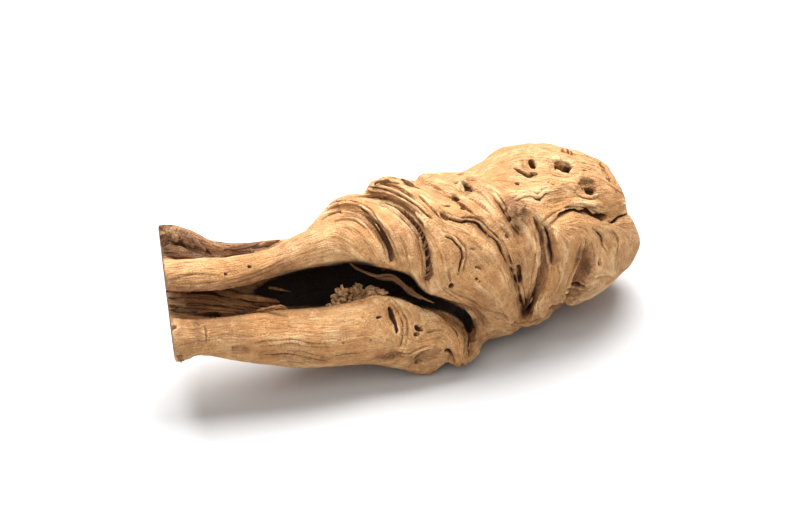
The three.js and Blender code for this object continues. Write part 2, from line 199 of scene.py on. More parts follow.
def vertex_places(mesh):
    """The vertices of a mesh in millimetres."""
    places = np.empty(len(mesh.vertices) * 3, np.float32)
    mesh.vertices.foreach_get("co", places)
    return places.reshape(-1, 3).astype(float) / MM


def triangles_of(mesh):
    """The triangles of a mesh, as rows of three vertex numbers."""
    mesh.calc_loop_triangles()
    corners = np.empty(len(mesh.loop_triangles) * 3, np.int32)
    mesh.loop_triangles.foreach_get("vertices", corners)
    return corners.reshape(-1, 3).astype(np.uint32)


def grid_of(mesh, step):
    """The grid of distances around a closed mesh."""
    points = vertex_places(mesh)
    transform = openvdb.createLinearTransform(voxelSize=step)
    level = openvdb.FloatGrid.createLevelSetFromPolygons(
        points, triangles=triangles_of(mesh), transform=transform, halfWidth=BAND
    )
    first = np.floor(points.min(0) / step).astype(int) - GRID_MARGIN
    last = np.ceil(points.max(0) / step).astype(int) + GRID_MARGIN
    values = np.empty(last - first, np.float32)
    level.copyToArray(values, ijk=tuple(int(v) for v in first))
    return Grid(values, first * step, step)


def blurred(values, radius):
    """The values averaged over a box of the given radius, in cells."""
    for axis in range(3):
        for _ in range(BLUR_PASSES):
            pad = [(radius + 1, radius) if k == axis else (0, 0) for k in range(3)]
            total = np.cumsum(np.pad(values, pad, mode="edge"), axis=axis, dtype=np.float32)
            count = values.shape[axis]
            ahead = [slice(None)] * 3
            behind = [slice(None)] * 3
            ahead[axis] = slice(2 * radius + 1, 2 * radius + 1 + count)
            behind[axis] = slice(0, count)
            values = (total[tuple(ahead)] - total[tuple(behind)]) / (2 * radius + 1)
    return values


# Marks on the wood, by their places on the drawing


@dataclass
class Fold:
    """A sharp edge along a path, with a valley on the left of someone who walks it.

    width is the valley's at its start and end, and flat how level its floor is: 1 is a slope up
    to the far side. lip raises the edge, and undercut slants the wall under it.
    """

    path: list
    width: tuple
    depth: float
    flat: float = 1.0
    lip: float = 0.7
    undercut: float = 0.25


FOLDS = {
    "drape": Fold([
        (533, 216), (535, 224), (537, 235), (537, 248), (537, 262), (535.5, 273), (534, 284),
        (530, 297), (525, 311),
    ], (3.6, 5.6), 5.4, 1.6, 0.9, 0.3),
    "pleat": Fold([(543, 226), (546, 237), (547.5, 249), (550, 265)], (4.6, 5.6), 3.8, 1.0, 0.9, 0.2),
    "skirt": Fold([
        (586, 240), (582, 252), (577, 265), (572, 277), (567, 290), (562, 304),
    ], (7.0, 7.5), 4.0, 1.1, 0.8, 0.3),
    "sash": Fold([
        (361, 199), (375, 202.5), (390, 206), (402, 214.6), (413, 226), (420, 236), (424, 249),
        (426, 263), (425, 281),
    ], (1.6, 5.4), 4.6, 3.0, 0.7, 0.5),
    "shoulder": Fold([
        (345, 211), (358, 214), (368, 221), (378, 231), (386, 244), (391, 262),
    ], (2.4, 3.8), 4.0, 2.6, 0.9, 0.3),
    "heel": Fold([
        (452, 311), (461, 320), (467, 330), (469.5, 342), (468, 356),
    ], (7.0, 4.0), 6.0, 1.6, 0.9, 0.2),
    "jaw": Fold([(560, 216), (551, 222), (545, 226)], (1.6, 1.2), 1.8, 1.0, 0.3, 0.2),
}


@dataclass
class Crack:
    """A crack or crease along a path. Its left side is the one on the left of someone who walks it.

    width and depth are the opening's own, in millimetres. lean slants it under its left side.
    lip raises the left side and drop lowers the right side, each over the given spread.
    """

    path: list
    width: float
    depth: float
    lean: float = 0.0
    lip: float = 0.0
    drop: float = 0.0
    spread: float = 4.0
    blunt: float = 0.15


CRACKS = {
    "shoulder_rim": Crack([
        (321, 217), (330, 209), (340, 205.5), (352, 205.5), (365, 211), (379, 226), (389, 241),
        (394, 253), (395, 262),
    ], 1.2, 2.2, -0.3, 0.7, 0.7, 2.8),
    "collar_edge": Crack([(320, 220), (328, 215), (338, 212), (348, 214)], 1.4, 2.6, 0.2, 0.5, 0.5),
    "collar_edge_top": Crack([(330, 201), (342, 192), (356, 187), (370, 186)], 0.9, 1.5, 0.0, 0.3, 0.3),
    "sash_rim": Crack([
        (348, 197.5), (362, 196), (376, 196.5), (391, 200.5), (406, 208), (418, 219), (425, 229),
    ], 1.8, 2.8, -0.2, 0.9, 0.7, 3.0),
    "strap": Crack([
        (371, 187), (386, 189.5), (402, 196.5), (414, 205), (432, 219),
    ], 1.4, 2.4, 0.2, 0.8, 0.6),
    "strap_low": Crack([
        (352, 193), (370, 192), (388, 195), (404, 203), (420, 214),
    ], 0.8, 1.2, 0.0, 0.4, 0.4),
    "strap_top": Crack([(379, 184), (392, 186), (403, 191), (414, 197.5)], 2.4, 3.0, 0.1, 0.8, 0.5),
    "curl": Crack([(376, 181), (384, 177.5), (393, 178), (399, 182)], 1.2, 2.6, 0.3, 0.7, 0.5, 2.5),
    "channel": Crack([
        (408, 178), (418, 184), (429, 191), (438, 196), (450, 202),
    ], 2.6, 5.0, 0.2, 1.0, 0.5),
    "channel_low": Crack([(418, 193), (430, 207), (437, 214), (442, 219)], 1.3, 2.8, 0.1, 0.5, 0.4),
    "channel_tail": Crack([
        (452, 199), (461, 205), (470, 211), (480, 219), (489, 229),
    ], 1.2, 2.2, 0.1, 0.4, 0.4),
    "seam": Crack([
        (443, 216), (451, 219.5), (460, 222), (470, 222), (477, 224), (486, 233), (495, 241),
        (502, 254), (509, 266), (516, 280), (521, 296), (523, 311),
    ], 1.25, 3.0, 0.3, 0.9, 0.5),
    "brow_line": Crack([
        (443, 236), (451, 239.4), (456, 244), (461, 250), (462, 257), (460, 266), (458, 278),
    ], 1.2, 3.0, 0.2, 0.7, 0.3),
    "collar": Crack([
        (492, 195), (498, 203), (503, 211), (508, 219), (513, 227), (520, 236),
    ], 1.2, 3.0, 0.3, 0.8, 0.5),
    "vein": Crack([
        (514, 203), (522, 198.5), (531, 196.5), (536, 199), (541, 198), (546, 194), (555, 192),
    ], 1.0, 2.6, 0.2, 0.7, 0.3),
    "vein_dip": Crack([(533, 197), (536, 199.5), (541, 198.5)], 2.4, 3.0, 0.2),
    "lip": Crack([
        (557, 218), (563, 213.5), (572, 211), (582, 211.5), (591, 214), (599, 217.5), (608, 215),
    ], 3.6, 6.0, 0.6, 1.2, -1.2, 5.5),
    "lip_right": Crack([(586, 214), (594, 217.5), (601, 217.5), (606, 215.5)], 3.6, 5.0, 0.4),
    "cheek": Crack([
        (592, 228), (597, 232), (601, 237), (602, 244), (607, 252),
    ], 1.1, 3.0, 0.2, 0.6, 0.4),
    "cheek_low": Crack([(599, 259), (601, 267)], 1.8, 3.2),
    "gusset": Crack([
        (607, 222), (614, 221), (620, 217), (628, 213), (637, 208),
    ], 1.4, 3.2, 0.2, 0.8, 0.5),
    "slit": Crack([(518, 265), (519, 274), (520, 283)], 3.0, 4.6, 0.1, 0.3, 0.2),
    "hip_slit": Crack([
        (389, 307), (391, 312), (393, 319), (395, 327), (395.5, 334),
    ], 2.8, 4.6, 0.2, 0.4, 0.2),
    "hip_curve": Crack([
        (390, 303), (397, 311), (402, 321), (403, 331), (402, 341), (398, 349), (391, 354), (383, 359),
    ], 0.9, 2.0, 0.2, 0.6, 0.5),
    "knob_notch": Crack([
        (446, 350), (450, 354), (451.5, 360), (450, 366), (447, 374),
    ], 3.4, 6.0, 0.2, 0.8, 0.3),
    "knob_line": Crack([
        (383, 362), (396, 357), (408, 357), (420, 352), (434, 349),
    ], 1.2, 2.2, 0.1, 0.7, 0.7),
    "knob_edge": Crack([(409, 368), (414, 361), (419, 356), (425, 352)], 2.4, 2.6, 0.0, 0.5, 0.5),
    "grain_long": Crack([
        (252, 347.3), (271, 345), (293, 344), (310, 347.3), (330, 348),
    ], 1.0, 1.8, 0.2, 0.4, 0.4),
    "grain_lens": Crack([(231, 349), (240, 346.5), (249, 350)], 1.8, 1.6),
    "grain_low": Crack([(262, 356), (290, 354.5), (310, 358.5), (327, 362)], 1.0, 1.8, 0.1, 0.5, 0.4),
    "grain_right": Crack([(333, 357), (349, 354.5), (364, 353)], 1.0, 1.8, 0.1, 0.4, 0.3),
    "ring_mark": Crack([(287, 312), (289.5, 326), (289, 342)], 0.8, 0.7),
    "notch_mark": Crack([(204, 323), (206, 334), (206, 345)], 1.0, 1.6),
    "notch_band": Crack([(196, 322), (198, 333), (199, 343)], 4.0, 0.9),
    "stem_line": Crack([(172, 288), (200, 288), (232, 284), (262, 275), (290, 263)], 0.8, 0.9),
    "gap_low": Crack([(170, 310), (188, 311), (204, 313), (222, 314)], 5.0, 7.0, 0.1),
    "gap_high": Crack([(190, 293), (208, 292), (226, 294), (244, 299), (262, 302)], 3.0, 6.0, 0.1, 0.6),
    "gap_thin": Crack([(176, 302), (196, 301), (216, 304), (238, 307)], 1.2, 3.0, 0.2, 0.5),
    "ridge_line": Crack([
        (172, 257), (195, 258), (218, 259), (244, 256), (268, 252),
    ], 1.6, 3.0, 0.2, 0.3),
    "ridge_tear": Crack([
        (176, 229), (184, 236), (193, 241), (204, 249), (212, 255),
    ], 1.6, 3.0, 0.3, 0.8),
    "ridge_cave": Crack([(156, 240), (166, 243), (176, 246), (186, 250)], 8.0, 5.0, 0.1, 1.0, 0.2, 5.0),
    "tear_one": Crack([(158, 251), (168, 252), (182, 254)], 1.6, 3.0, 0.1, 0.5),
    "tear_two": Crack([(160, 291), (172, 292), (186, 293.5)], 2.0, 3.5, 0.1, 0.5),
    "tear_three": Crack([(161, 304), (172, 305.5), (184, 307)], 1.8, 3.5, 0.1, 0.5),
    "tear_four": Crack([(160, 297.5), (170, 298), (180, 299)], 1.2, 3.0, 0.1, 0.4),
    "wall_crack": Crack([(205, 290), (222, 290), (240, 287), (256, 281)], 2.0, 4.0, 0.1, 0.5),
    "wall_crack_low": Crack([(222, 299), (240, 303), (258, 306), (272, 307)], 1.6, 4.0, 0.1, 0.5),
    "socket_line": Crack([
        (463, 313), (468, 321), (470, 331), (469, 341), (468, 352),
    ], 1.8, 4.0, 0.1, 0.7, 0.3),
    "neck_crease": Crack([
        (324, 212), (337, 200), (352, 192.5), (366, 190),
    ], 0.9, 1.6, 0.1, 0.5, 0.3, 2.6),
    "neck_crease_low": Crack([
        (330, 222), (343, 219), (356, 221), (366, 229), (374, 240),
    ], 0.9, 1.4, 0.1, 0.5, 0.3, 2.6),
    "cuff_crease": Crack([(352, 228), (362, 236), (370, 248)], 0.7, 1.1, 0.0, 0.3, 0.2, 2.6),
    "waist_crease": Crack([
        (398, 232), (404, 246), (408, 262), (410, 274),
    ], 0.8, 1.1, 0.0, 0.3, 0.2, 3.0),
    "waist_crease_low": Crack([(436, 244), (442, 258), (444, 272)], 0.7, 1.0, 0.0, 0.3, 0.2, 3.0),
    "chest_crease": Crack([
        (448, 228), (460, 230), (472, 238), (482, 250),
    ], 0.7, 1.0, 0.0, 0.35, 0.2, 3.0),
    "thigh_crease": Crack([
        (497, 240), (504, 255), (509, 272), (512, 290),
    ], 0.7, 1.1, 0.0, 0.35, 0.2, 3.0),
    "calf_crease": Crack([
        (556, 262), (560, 275), (556, 288), (549, 299),
    ], 0.8, 1.2, 0.0, 0.4, 0.2, 3.0),
    "brow_crease": Crack([
        (566, 206), (578, 204), (592, 207), (602, 211),
    ], 0.7, 1.1, 0.0, 0.4, 0.2, 3.0),
    "temple_crease": Crack([
        (574, 192), (581, 198), (593, 199), (603, 194),
    ], 0.8, 1.4, 0.0, 0.4, 0.3, 3.0),
    "crown_crease": Crack([
        (497, 166), (508, 158), (522, 153), (538, 153),
    ], 0.7, 1.1, 0.0, 0.4, 0.2, 3.4),
    "crown_crease_right": Crack([
        (576, 162), (590, 164), (603, 170), (613, 180),
    ], 0.7, 1.1, 0.0, 0.4, 0.2, 3.0),
    "cheek_crease": Crack([
        (611, 228), (617, 236), (619, 248), (616, 260),
    ], 0.7, 1.1, 0.0, 0.4, 0.2, 3.0),
    "belly_crease": Crack([
        (440, 290), (455, 298), (470, 304), (484, 312),
    ], 0.8, 1.2, 0.0, 0.4, 0.2, 3.0),
    "inner_fold": Crack([(425, 239), (428, 251), (430, 266)], 1.0, 1.8),
    "mark_one": Crack([(469.5, 248.6), (475.5, 249.4)], 1.0, 1.4),
    "mark_two": Crack([(475, 267), (481.5, 269)], 1.0, 1.4),
    "crown_line": Crack([(513, 168), (522, 172.5), (529, 175.5), (534, 174)], 1.4, 2.6, 0.2, 0.5, 0.3),
    "crown_fold": Crack([(520, 147), (534, 146), (546, 148), (556, 152)], 1.0, 1.5, 0.0, 0.4),
    "crown_wrinkle": Crack([(573, 171), (580, 171), (588, 170)], 0.9, 1.4, 0.0, 0.3),
    "fray_high": Crack([(565, 288), (574, 289), (586, 287), (598, 283)], 1.4, 2.8, 0.2, 0.5),
    "fray_middle": Crack([(564, 293), (576, 295), (588, 293), (600, 288)], 1.2, 2.6, 0.2, 0.5),
    "fray_low": Crack([(562, 299), (574, 301), (586, 299), (596, 295)], 1.2, 2.6, 0.2, 0.5),
}


@dataclass
class Pit:
    """A pit, or a swelling where depth is below 0. Sizes are half widths in millimetres.

    turn is the angle of its long side on the drawing, and rim raises a ring around it.
    """

    at: tuple
    long: float
    short: float
    depth: float
    turn: float = 0.0
    rim: float = 0.0


PITS = {
    "crown_socket": Pit((562, 170), 6.0, 3.4, 5.5, -10, 0.5),
    "crown_socket_deep": Pit((567, 169), 3.0, 2.4, 8.0, -30),
    "crown_slot": Pit((532.5, 166), 3.6, 1.7, 4.5, -70, 0.3),
    "crown_slot_low": Pit((534, 173), 2.4, 1.6, 3.2, -20),
    "temple_dimple": Pit((588, 183), 5.8, 4.2, 2.2, 10, 0.3),
    "temple_pit": Pit((589, 191.5), 3.2, 2.2, 5.4, 20, 0.3),
    "speck_crown": Pit((517.5, 183.4), 1.3, 1.1, 2.5),
    "eyelet": Pit((551, 181), 3.6, 3.0, 0.8, 30, 0.5),
    "eyelet_pin": Pit((553, 184), 1.0, 0.8, 2.0),
    "speck_edge": Pit((609, 179.4), 1.8, 1.2, 2.5, -30),
    "speck_edge_low": Pit((616, 183), 1.9, 1.0, 2.5, -30),
    "knot": Pit((516, 208.5), 5.4, 5.0, -3.8, 0, 0.0),
    "knot_swirl": Pit((510.5, 212), 2.0, 1.6, 1.4, 0, 0.5),
    "knot_hole": Pit((510, 219), 2.4, 1.9, 4.2, 50, 0.4),
    "knot_tail": Pit((517.5, 228), 2.8, 1.5, 2.0, -70),
    "spot": Pit((466, 190), 4.4, 2.6, 3.8, -55, 0.8),
    "spot_pin": Pit((457.5, 182.5), 1.4, 1.2, 2.6),
    "spot_ring": Pit((474, 184), 5.0, 4.2, 0.8, 20, 0.6),
    "beetle_one": Pit((456, 198), 2.6, 1.5, 3.4, -40, 0.3),
    "beetle_two": Pit((462.5, 207.5), 2.2, 1.2, 2.8, -30),
    "beetle_three": Pit((447, 205.5), 2.2, 1.3, 2.8, 20),
    "beetle_four": Pit((444.5, 216), 3.0, 1.9, 3.0, -30),
    "pin_one": Pit((451.3, 285.5), 1.7, 1.3, 3.4, 0, 0.2),
    "pin_two": Pit((477, 279.2), 1.0, 0.8, 2.4),
    "pin_three": Pit((480, 281.5), 0.7, 0.6, 2.0),
    "skirt_slit": Pit((577, 284.5), 4.6, 1.9, 4.4, 10, 0.3),
    "hip_pin": Pit((378.8, 317.3), 1.7, 1.0, 3.0, 20),
    "hip_pit": Pit((417.5, 328), 3.0, 1.8, 4.4, -30, 0.4),
    "hip_pit_low": Pit((417, 334), 1.6, 1.2, 3.0),
    "hip_pit_side": Pit((420.5, 329.5), 1.8, 0.9, 2.6, -30),
    "knob_hollow": Pit((420, 361), 4.6, 2.8, 2.0, 60),
    "knob_hollow_left": Pit((392, 356), 5.0, 2.4, 1.2, 20),
    "socket": Pit((468.5, 321), 6.2, 2.6, 6.0, -62),
    "ridge_corner": Pit((162.5, 227), 6.0, 4.4, 5.0, 60),
    "cave_mouth": Pit((166, 244), 6.5, 4.5, 5.0, 80),
    "curl_roll": Pit((388, 179), 5.4, 2.0, -1.8, 5),
    "stem_pin": Pit((249.7, 266.7), 1.1, 0.8, 2.0),
    "stem_pin_left": Pit((225.8, 274), 1.0, 0.6, 1.6),
    "stem_pin_low": Pit((230.5, 288), 2.2, 1.0, 2.2),
    "nail_left": Pit((344, 343), 0.9, 0.6, 1.4),
    "nail_right": Pit((371, 340), 0.9, 0.6, 1.4),
}


@dataclass
class Stain:
    """A patch of another colour along a path, or round one place, over the given reach."""

    path: list
    reach: float
    strength: float


# Red-brown patches: stains and knots, and painted shade in the valleys of the folds, under the stems
# and round the knob.
STAINS_AND_SHADE = {
    "drape_valley": Stain([
        (539, 236), (541, 250), (540, 266), (537, 282), (531, 298), (527, 308),
    ], 5.0, 0.9),
    "pleat_valley": Stain([(549, 234), (551, 246), (552, 258)], 4.2, 0.7),
    "sash_floor": Stain([(405, 214), (417, 228), (426, 244), (429, 260), (428, 276)], 3.4, 0.75),
    "sash_rim": Stain([(380, 197), (393, 201), (406, 208.5), (418, 220), (424, 229)], 2.0, 0.9),
    "shoulder_floor": Stain([(352, 214), (366, 220), (378, 231), (387, 245), (392, 258)], 3.4, 0.8),
    "shoulder_patch": Stain([(345, 216), (356, 218)], 6.0, 0.5),
    "strap_shade": Stain([(381, 184), (393, 187), (404, 192), (414, 198)], 2.6, 0.8),
    "curl": Stain([(381, 179), (389, 177), (397, 179)], 3.2, 0.8),
    "jaw": Stain([(580, 254), (582, 264), (579, 274)], 6.5, 0.85),
    "fray": Stain([(570, 293), (582, 294), (593, 291)], 6.0, 0.55),
    "fray_edge": Stain([(557, 305), (563, 305)], 3.5, 0.9),
    "temple": Stain([(586, 184), (591, 189)], 5.0, 0.6),
    "knot": Stain([(512, 207), (519, 211)], 8.5, 1.0),
    "knot_tail": Stain([(517, 220), (518, 233)], 4.0, 0.8),
    "spot": Stain([(466, 188), (471, 193)], 4.2, 0.8),
    "ring": Stain([(474, 182)], 7.0, 0.35),
    "heel": Stain([(462, 318), (470, 328), (471, 342), (469, 354)], 5.5, 0.9),
    "heel_side": Stain([(480, 322), (484, 334)], 7.0, 0.4),
    "thigh": Stain([(519, 244), (525, 256), (524, 268)], 7.5, 0.45),
    "flank": Stain([(500, 226), (509, 240)], 6.0, 0.3),
    "knob_patch": Stain([(380, 358), (392, 356)], 5.0, 0.65),
    "knob_dip": Stain([(415, 358), (423, 358), (434, 352)], 4.5, 0.75),
    "leg_band": Stain([(196, 322), (198, 333), (200, 343)], 2.6, 0.6),
    "leg_cloud": Stain([(222, 332), (240, 330)], 9.0, 0.35),
    "leg_corner": Stain([(180, 350), (188, 346)], 6.0, 0.45),
    "leg_lens": Stain([(234, 349), (248, 350)], 3.2, 0.7),
    "leg_under": Stain([(262, 356), (292, 358), (325, 361)], 4.0, 0.4),
    "stem_under": Stain([(164, 290), (200, 291), (236, 286), (262, 277), (288, 266)], 5.0, 0.75),
    "stem_start": Stain([(170, 284), (180, 286)], 6.0, 0.5),
    "trunk_front": Stain([(402, 232), (408, 244)], 8.0, 0.3),
    "belly": Stain([(480, 300), (487, 312)], 8.0, 0.35),
}

# Bark on the ridge, and painted shade in bark colours: in the cave under the ridge, the cleft between
# the stems and the wall behind them.
BARK_AND_SHADE = {
    "cavity": Stain([(158, 241), (166, 245), (176, 247), (188, 252), (198, 256)], 8.0, 1.0),
    "mouth": Stain([(158, 234), (162, 252)], 6.0, 0.9),
    "ridge": Stain([
        (158, 228), (185, 236), (205, 247), (225, 250), (248, 248), (275, 246), (290, 243),
    ], 12.0, 0.78),
    "ridge_foot": Stain([(205, 256), (230, 255), (250, 252)], 3.5, 1.0),
    "cleft": Stain([(170, 311), (190, 312), (210, 314), (222, 314)], 4.0, 0.9),
    "wall": Stain([(168, 298), (200, 301), (230, 300), (255, 296)], 11.0, 0.62),
    "wall_top": Stain([(215, 291), (235, 287), (252, 281), (268, 275)], 5.0, 0.9),
}

# The painted shade inside the hollow: (across, down, half height) along it.
HOLLOW = [
    (256, 292, 4), (266, 292, 9), (277, 291, 14), (290, 290, 18), (305, 288, 20), (325, 286, 21),
    (345, 281, 20), (362, 278, 17), (378, 281, 13.5), (392, 283, 13.5), (403, 286, 13), (413, 293, 10),
    (425, 300, 7.5), (440, 304, 6.5), (452, 309, 6), (461, 314, 6), (467, 321, 5), (469, 330, 3.5),
]

# Paths on the wood. Sizes are in millimetres.

SAMPLE_STEP = 0.8
LONGEST_STEP = 12 * SAMPLE_STEP
SURFACE_REACH = 1.5
SMOOTHING = 1.3


def spline(points, step):
    """Points every step or so along a smooth curve through the given points."""
    points = np.asarray(points, float)
    if len(points) == 1:
        return points
    ends = np.vstack([2 * points[0] - points[1], points, 2 * points[-1] - points[-2]])
    curve = []
    for k in range(1, len(ends) - 2):
        before, start, end, after = ends[k - 1:k + 3]
        count = max(1, int(np.ceil(np.linalg.norm(end - start) / step)))
        for t in np.arange(count) / count:
            curve.append(0.5 * (
                2 * start + (end - before) * t
                + (2 * before - 5 * start + 4 * end - after) * t ** 2
                + (3 * start - before - 3 * end + after) * t ** 3
            ))
    curve.append(points[-1])
    return np.array(curve)


def tangents(points):
    """The direction along a row of points at each of them."""
    return unit(np.gradient(points, axis=0))


def nearest(points, marks):
    """The distance from each point to the nearest of some marks."""
    best = np.full(len(points), np.inf)
    for mark in marks:
        best = np.minimum(best, ((points - mark) ** 2).sum(1))
    return np.sqrt(best)


class Front:
    """The smooth wood of the log, and what the drawing sees of it."""

    def __init__(self, grid):
        points = vertex_places(NODE.data)
        self.tree = BVHTree.FromPolygons(points.tolist(), triangles_of(NODE.data).tolist())
        self.grid = grid

    def hit(self, across, down):
        """The first point of the wood behind a place of the drawing, or None."""
        towards = Vector(seen(across, down) - EYE).normalized()
        place = self.tree.ray_cast(Vector(EYE), towards)[0]
        return None if place is None else np.array(place)

    def depth(self, across, down):
        """How deep behind the middle of the drawing the wood lies at one of its places."""
        return float((self.hit(across, down) - AIM) @ BACK)

    def trace(self, path):
        """A path of the drawing laid on the wood, without what lies past a step in depth."""
        places = [self.hit(*place) for place in spline(path, SAMPLE_STEP / UNIT)]
        places = np.array([place for place in places if place is not None])
        places = self.grid.settle(places, SURFACE_REACH)
        kept = [places[0]]
        for place in places[1:]:
            if np.linalg.norm(place - kept[-1]) < LONGEST_STEP:
                kept.append(place)
        return np.array(kept)


@functools.cache
def front():
    """The smooth wood of the log, made once."""
    step = bpy.context.scene.grapewood_wood.cell / MM * 1
    grid = grid_of(NODE.data, step)
    grid.values = blurred(grid.values, max(1, round(SMOOTHING / step)))
    return Front(grid)


# The carver. Sizes are in millimetres. A layer of roughness is (height, size, stride between seeds).

CARVER_SEED = 11
SWELL_POWER = 4
RIM_BLEND = 0.4
SIDE_REACH = 2.0
REACH_MARGIN = 1.5
PATH_ROUGHNESS = ((0.35, 4.0, 7.3), (0.2, 1.6, 3.1))

LEAST_POINTS = 3
CRACK_REACH = 1.6
MOST_WAVER = 2.0
LIP_PLACE = 0.6
LIP_RISE = 0.3
MOUTH_FLARE = 0.1
DEEPEST = 1.5
CRACK_BOTTOM = (0.9, 1.2)
BREADTH_ROUGHNESS = ((0.8, 6.0, 1.7),)
BREADTH_MIDDLE = 0.95
BREADTH_RANGE = (0.5, 1.7)

FOLD_MARGIN = 2.0
FOLD_WAVER = 0.8
EDGE_SPREAD = 3.2
EDGE_PLACE = 0.5
END_WIDTH = 0.3
VALLEY_SLOPE = 0.8

PIT_REACH = 2.2
PIT_SIDE = 2.5
PIT_ROUGHNESS = ((0.3, 2.6, 5.7), (0.18, 1.3, 2.3))
RING_PLACE = 1.45
RING_WIDTH = 0.35


@dataclass
class Beside:
    """Grid cells near a path, and where each lies from it."""

    window: tuple
    mask: np.ndarray
    places: np.ndarray
    across: np.ndarray
    part: np.ndarray
    beyond: np.ndarray
    deep: np.ndarray

    @property
    def swell(self):
        """1 along the middle of the path, down to 0 at its ends."""
        return np.sqrt(np.clip(1 - (2 * self.part - 1) ** SWELL_POWER, 0, 1))


class Carver:
    """Cuts and raises marks in a grid, all measured from the smooth wood that it started as."""

    def __init__(self, base):
        self.base = base
        self.grid = Grid(base.values.copy(), base.corner, base.step)
        self.values = lattice(CARVER_SEED)

    def around(self, points, reach):
        """The cells within reach of a row of points, as window, mask, and nearest point's number."""
        window, axes = self.base.window(points.min(0) - reach, points.max(0) + reach)
        shape = tuple(len(axis) for axis in axes)
        best = np.full(shape, reach * reach, np.float32)
        number = np.full(shape, -1, np.int32)
        low = np.array([axis[0] for axis in axes])
        for k, point in enumerate(points):
            first = np.maximum(np.floor((point - reach - low) / self.base.step).astype(int), 0)
            last = np.ceil((point + reach - low) / self.base.step).astype(int) + 1
            part = tuple(slice(a, b) for a, b in zip(first, last))
            x, y, z = (axes[i][part[i]] - point[i] for i in range(3))
            away = x[:, None, None] ** 2 + y[None, :, None] ** 2 + z[None, None, :] ** 2
            nearer = away < best[part]
            best[part][nearer] = away[nearer]
            number[part][nearer] = k
        mask = number >= 0
        place = np.nonzero(mask)
        points_at = np.stack([axes[i][place[i]] for i in range(3)], 1)
        return window, mask, number[mask], points_at

    def rough(self, places, seed, layers, middle=0.0):
        """Layers of roughness about a middle value, at some places."""
        for height, size, stride in layers:
            middle = middle + height * wander(places + seed * stride, size, self.values)
        return middle

    def beside(self, points, reach, waver, seed):
        """The cells near a path on the wood, with a path that wavers by the given amount."""
        window, mask, number, places = self.around(points, reach)
        along = tangents(points)
        side = unit(np.cross(self.base.outward(points, SIDE_REACH), along))
        steps = np.linalg.norm(np.diff(points, axis=0), axis=1)
        walked = np.concatenate([[0], np.cumsum(steps)])
        away = places - points[number]
        ahead = walked[number] + np.einsum("ij,ij->i", away, along[number])
        shift = self.rough(places, seed, PATH_ROUGHNESS)
        return Beside(
            window, mask, places,
            across=np.einsum("ij,ij->i", away, side[number]) + shift * waver,
            part=np.clip(ahead / walked[-1], 0, 1),
            beyond=np.maximum(np.maximum(-ahead, ahead - walked[-1]), 0),
            deep=-self.base.values[window][mask],
        )

    def crack(self, points, mark, seed=0):
        """Cuts one crack along a row of points on the surface."""
        if len(points) < LEAST_POINTS:
            return
        reach = max(CRACK_REACH * mark.width, CRACK_REACH * mark.spread, mark.depth) + REACH_MARGIN
        by = self.beside(points, reach, min(mark.width, MOST_WAVER), seed)
        fade = by.swell * smooth_step(mark.spread, 0, by.beyond)
        away = np.abs(by.across)
        top = LIP_PLACE * mark.width
        hump = np.exp(-((away - top) / mark.spread) ** 2) * smooth_step(0, top + LIP_RISE, away)
        result = self.grid.values[by.window][by.mask]
        result = result - fade * hump * np.where(by.across > 0, mark.lip, -mark.drop)
        share = np.clip(by.deep / mark.depth, -1, DEEPEST)
        taper = np.where(share > 0, share ** 2 * (1 - mark.blunt), MOUTH_FLARE * share)
        breadth = self.rough(by.places, seed, BREADTH_ROUGHNESS, BREADTH_MIDDLE)
        half = 0.5 * mark.width * np.clip(breadth, *BREADTH_RANGE) * (by.swell - taper)
        half = half - smooth_step(*CRACK_BOTTOM, share) * mark.width - by.beyond
        cut = half - np.abs(by.across - mark.lean * np.maximum(by.deep, 0))
        self.put(by, soft_max(result, cut.astype(np.float32), RIM_BLEND))

    def fold(self, points, mark, seed=0):
        """Cuts the valley of one fold and raises the edge over it."""
        by = self.beside(points, max(mark.width) + mark.depth + FOLD_MARGIN, FOLD_WAVER, seed)
        width = mark.width[0] + (mark.width[1] - mark.width[0]) * by.part
        swell = by.swell
        edge = mark.lip * swell * smooth_step(EDGE_SPREAD, 0, by.beyond)
        edge = edge * np.exp(-(np.minimum(by.across + EDGE_PLACE, 0) / EDGE_SPREAD) ** 2)
        result = self.grid.values[by.window][by.mask] - edge
        opened = by.across + mark.undercut * np.maximum(by.deep, 0)
        share = np.clip(opened / (width * (END_WIDTH + (1 - END_WIDTH) * swell)), 0, 1)
        floor = mark.depth * swell * (1 - share ** mark.flat) - by.beyond
        cut = np.minimum(opened, VALLEY_SLOPE * (floor - by.deep))
        self.put(by, soft_max(result, cut.astype(np.float32), RIM_BLEND))

    def pit(self, centre, turn_to, mark, seed=0):
        """Cuts one pit, or raises one swelling, at a point on the surface."""
        reach = PIT_REACH * max(mark.long, mark.short) + abs(mark.depth) + 1
        window, mask, _, places = self.around(centre[None], reach)
        out = self.base.outward(centre[None], PIT_SIDE)[0]
        long = unit(turn_to - out * (turn_to @ out))
        short = np.cross(out, long)
        away = places - centre
        tall = away @ out
        ragged = self.rough(places, seed, PIT_ROUGHNESS, 1.0)
        wide = np.hypot(away @ long / mark.long, away @ short / mark.short) * ragged
        ring = mark.rim * np.exp(-((wide - RING_PLACE) / RING_WIDTH) ** 2)
        ring = ring * smooth_step(reach, 0.5 * reach, np.abs(tall))
        result = self.grid.values[window][mask] - ring
        size = min(mark.long, mark.short, abs(mark.depth))
        ball = ((1 - np.hypot(wide, tall / abs(mark.depth))) * size).astype(np.float32)
        if mark.depth > 0:
            result = soft_max(result, ball, RIM_BLEND)
        else:
            result = -soft_max(-result, ball, 2 * RIM_BLEND)
        held = self.grid.values[window]
        held[mask] = result
        self.grid.values[window] = held

    def put(self, by, result):
        """Writes the new distances of the cells near a path."""
        held = self.grid.values[by.window]
        held[by.mask] = result
        self.grid.values[by.window] = held


# The way the fibres run

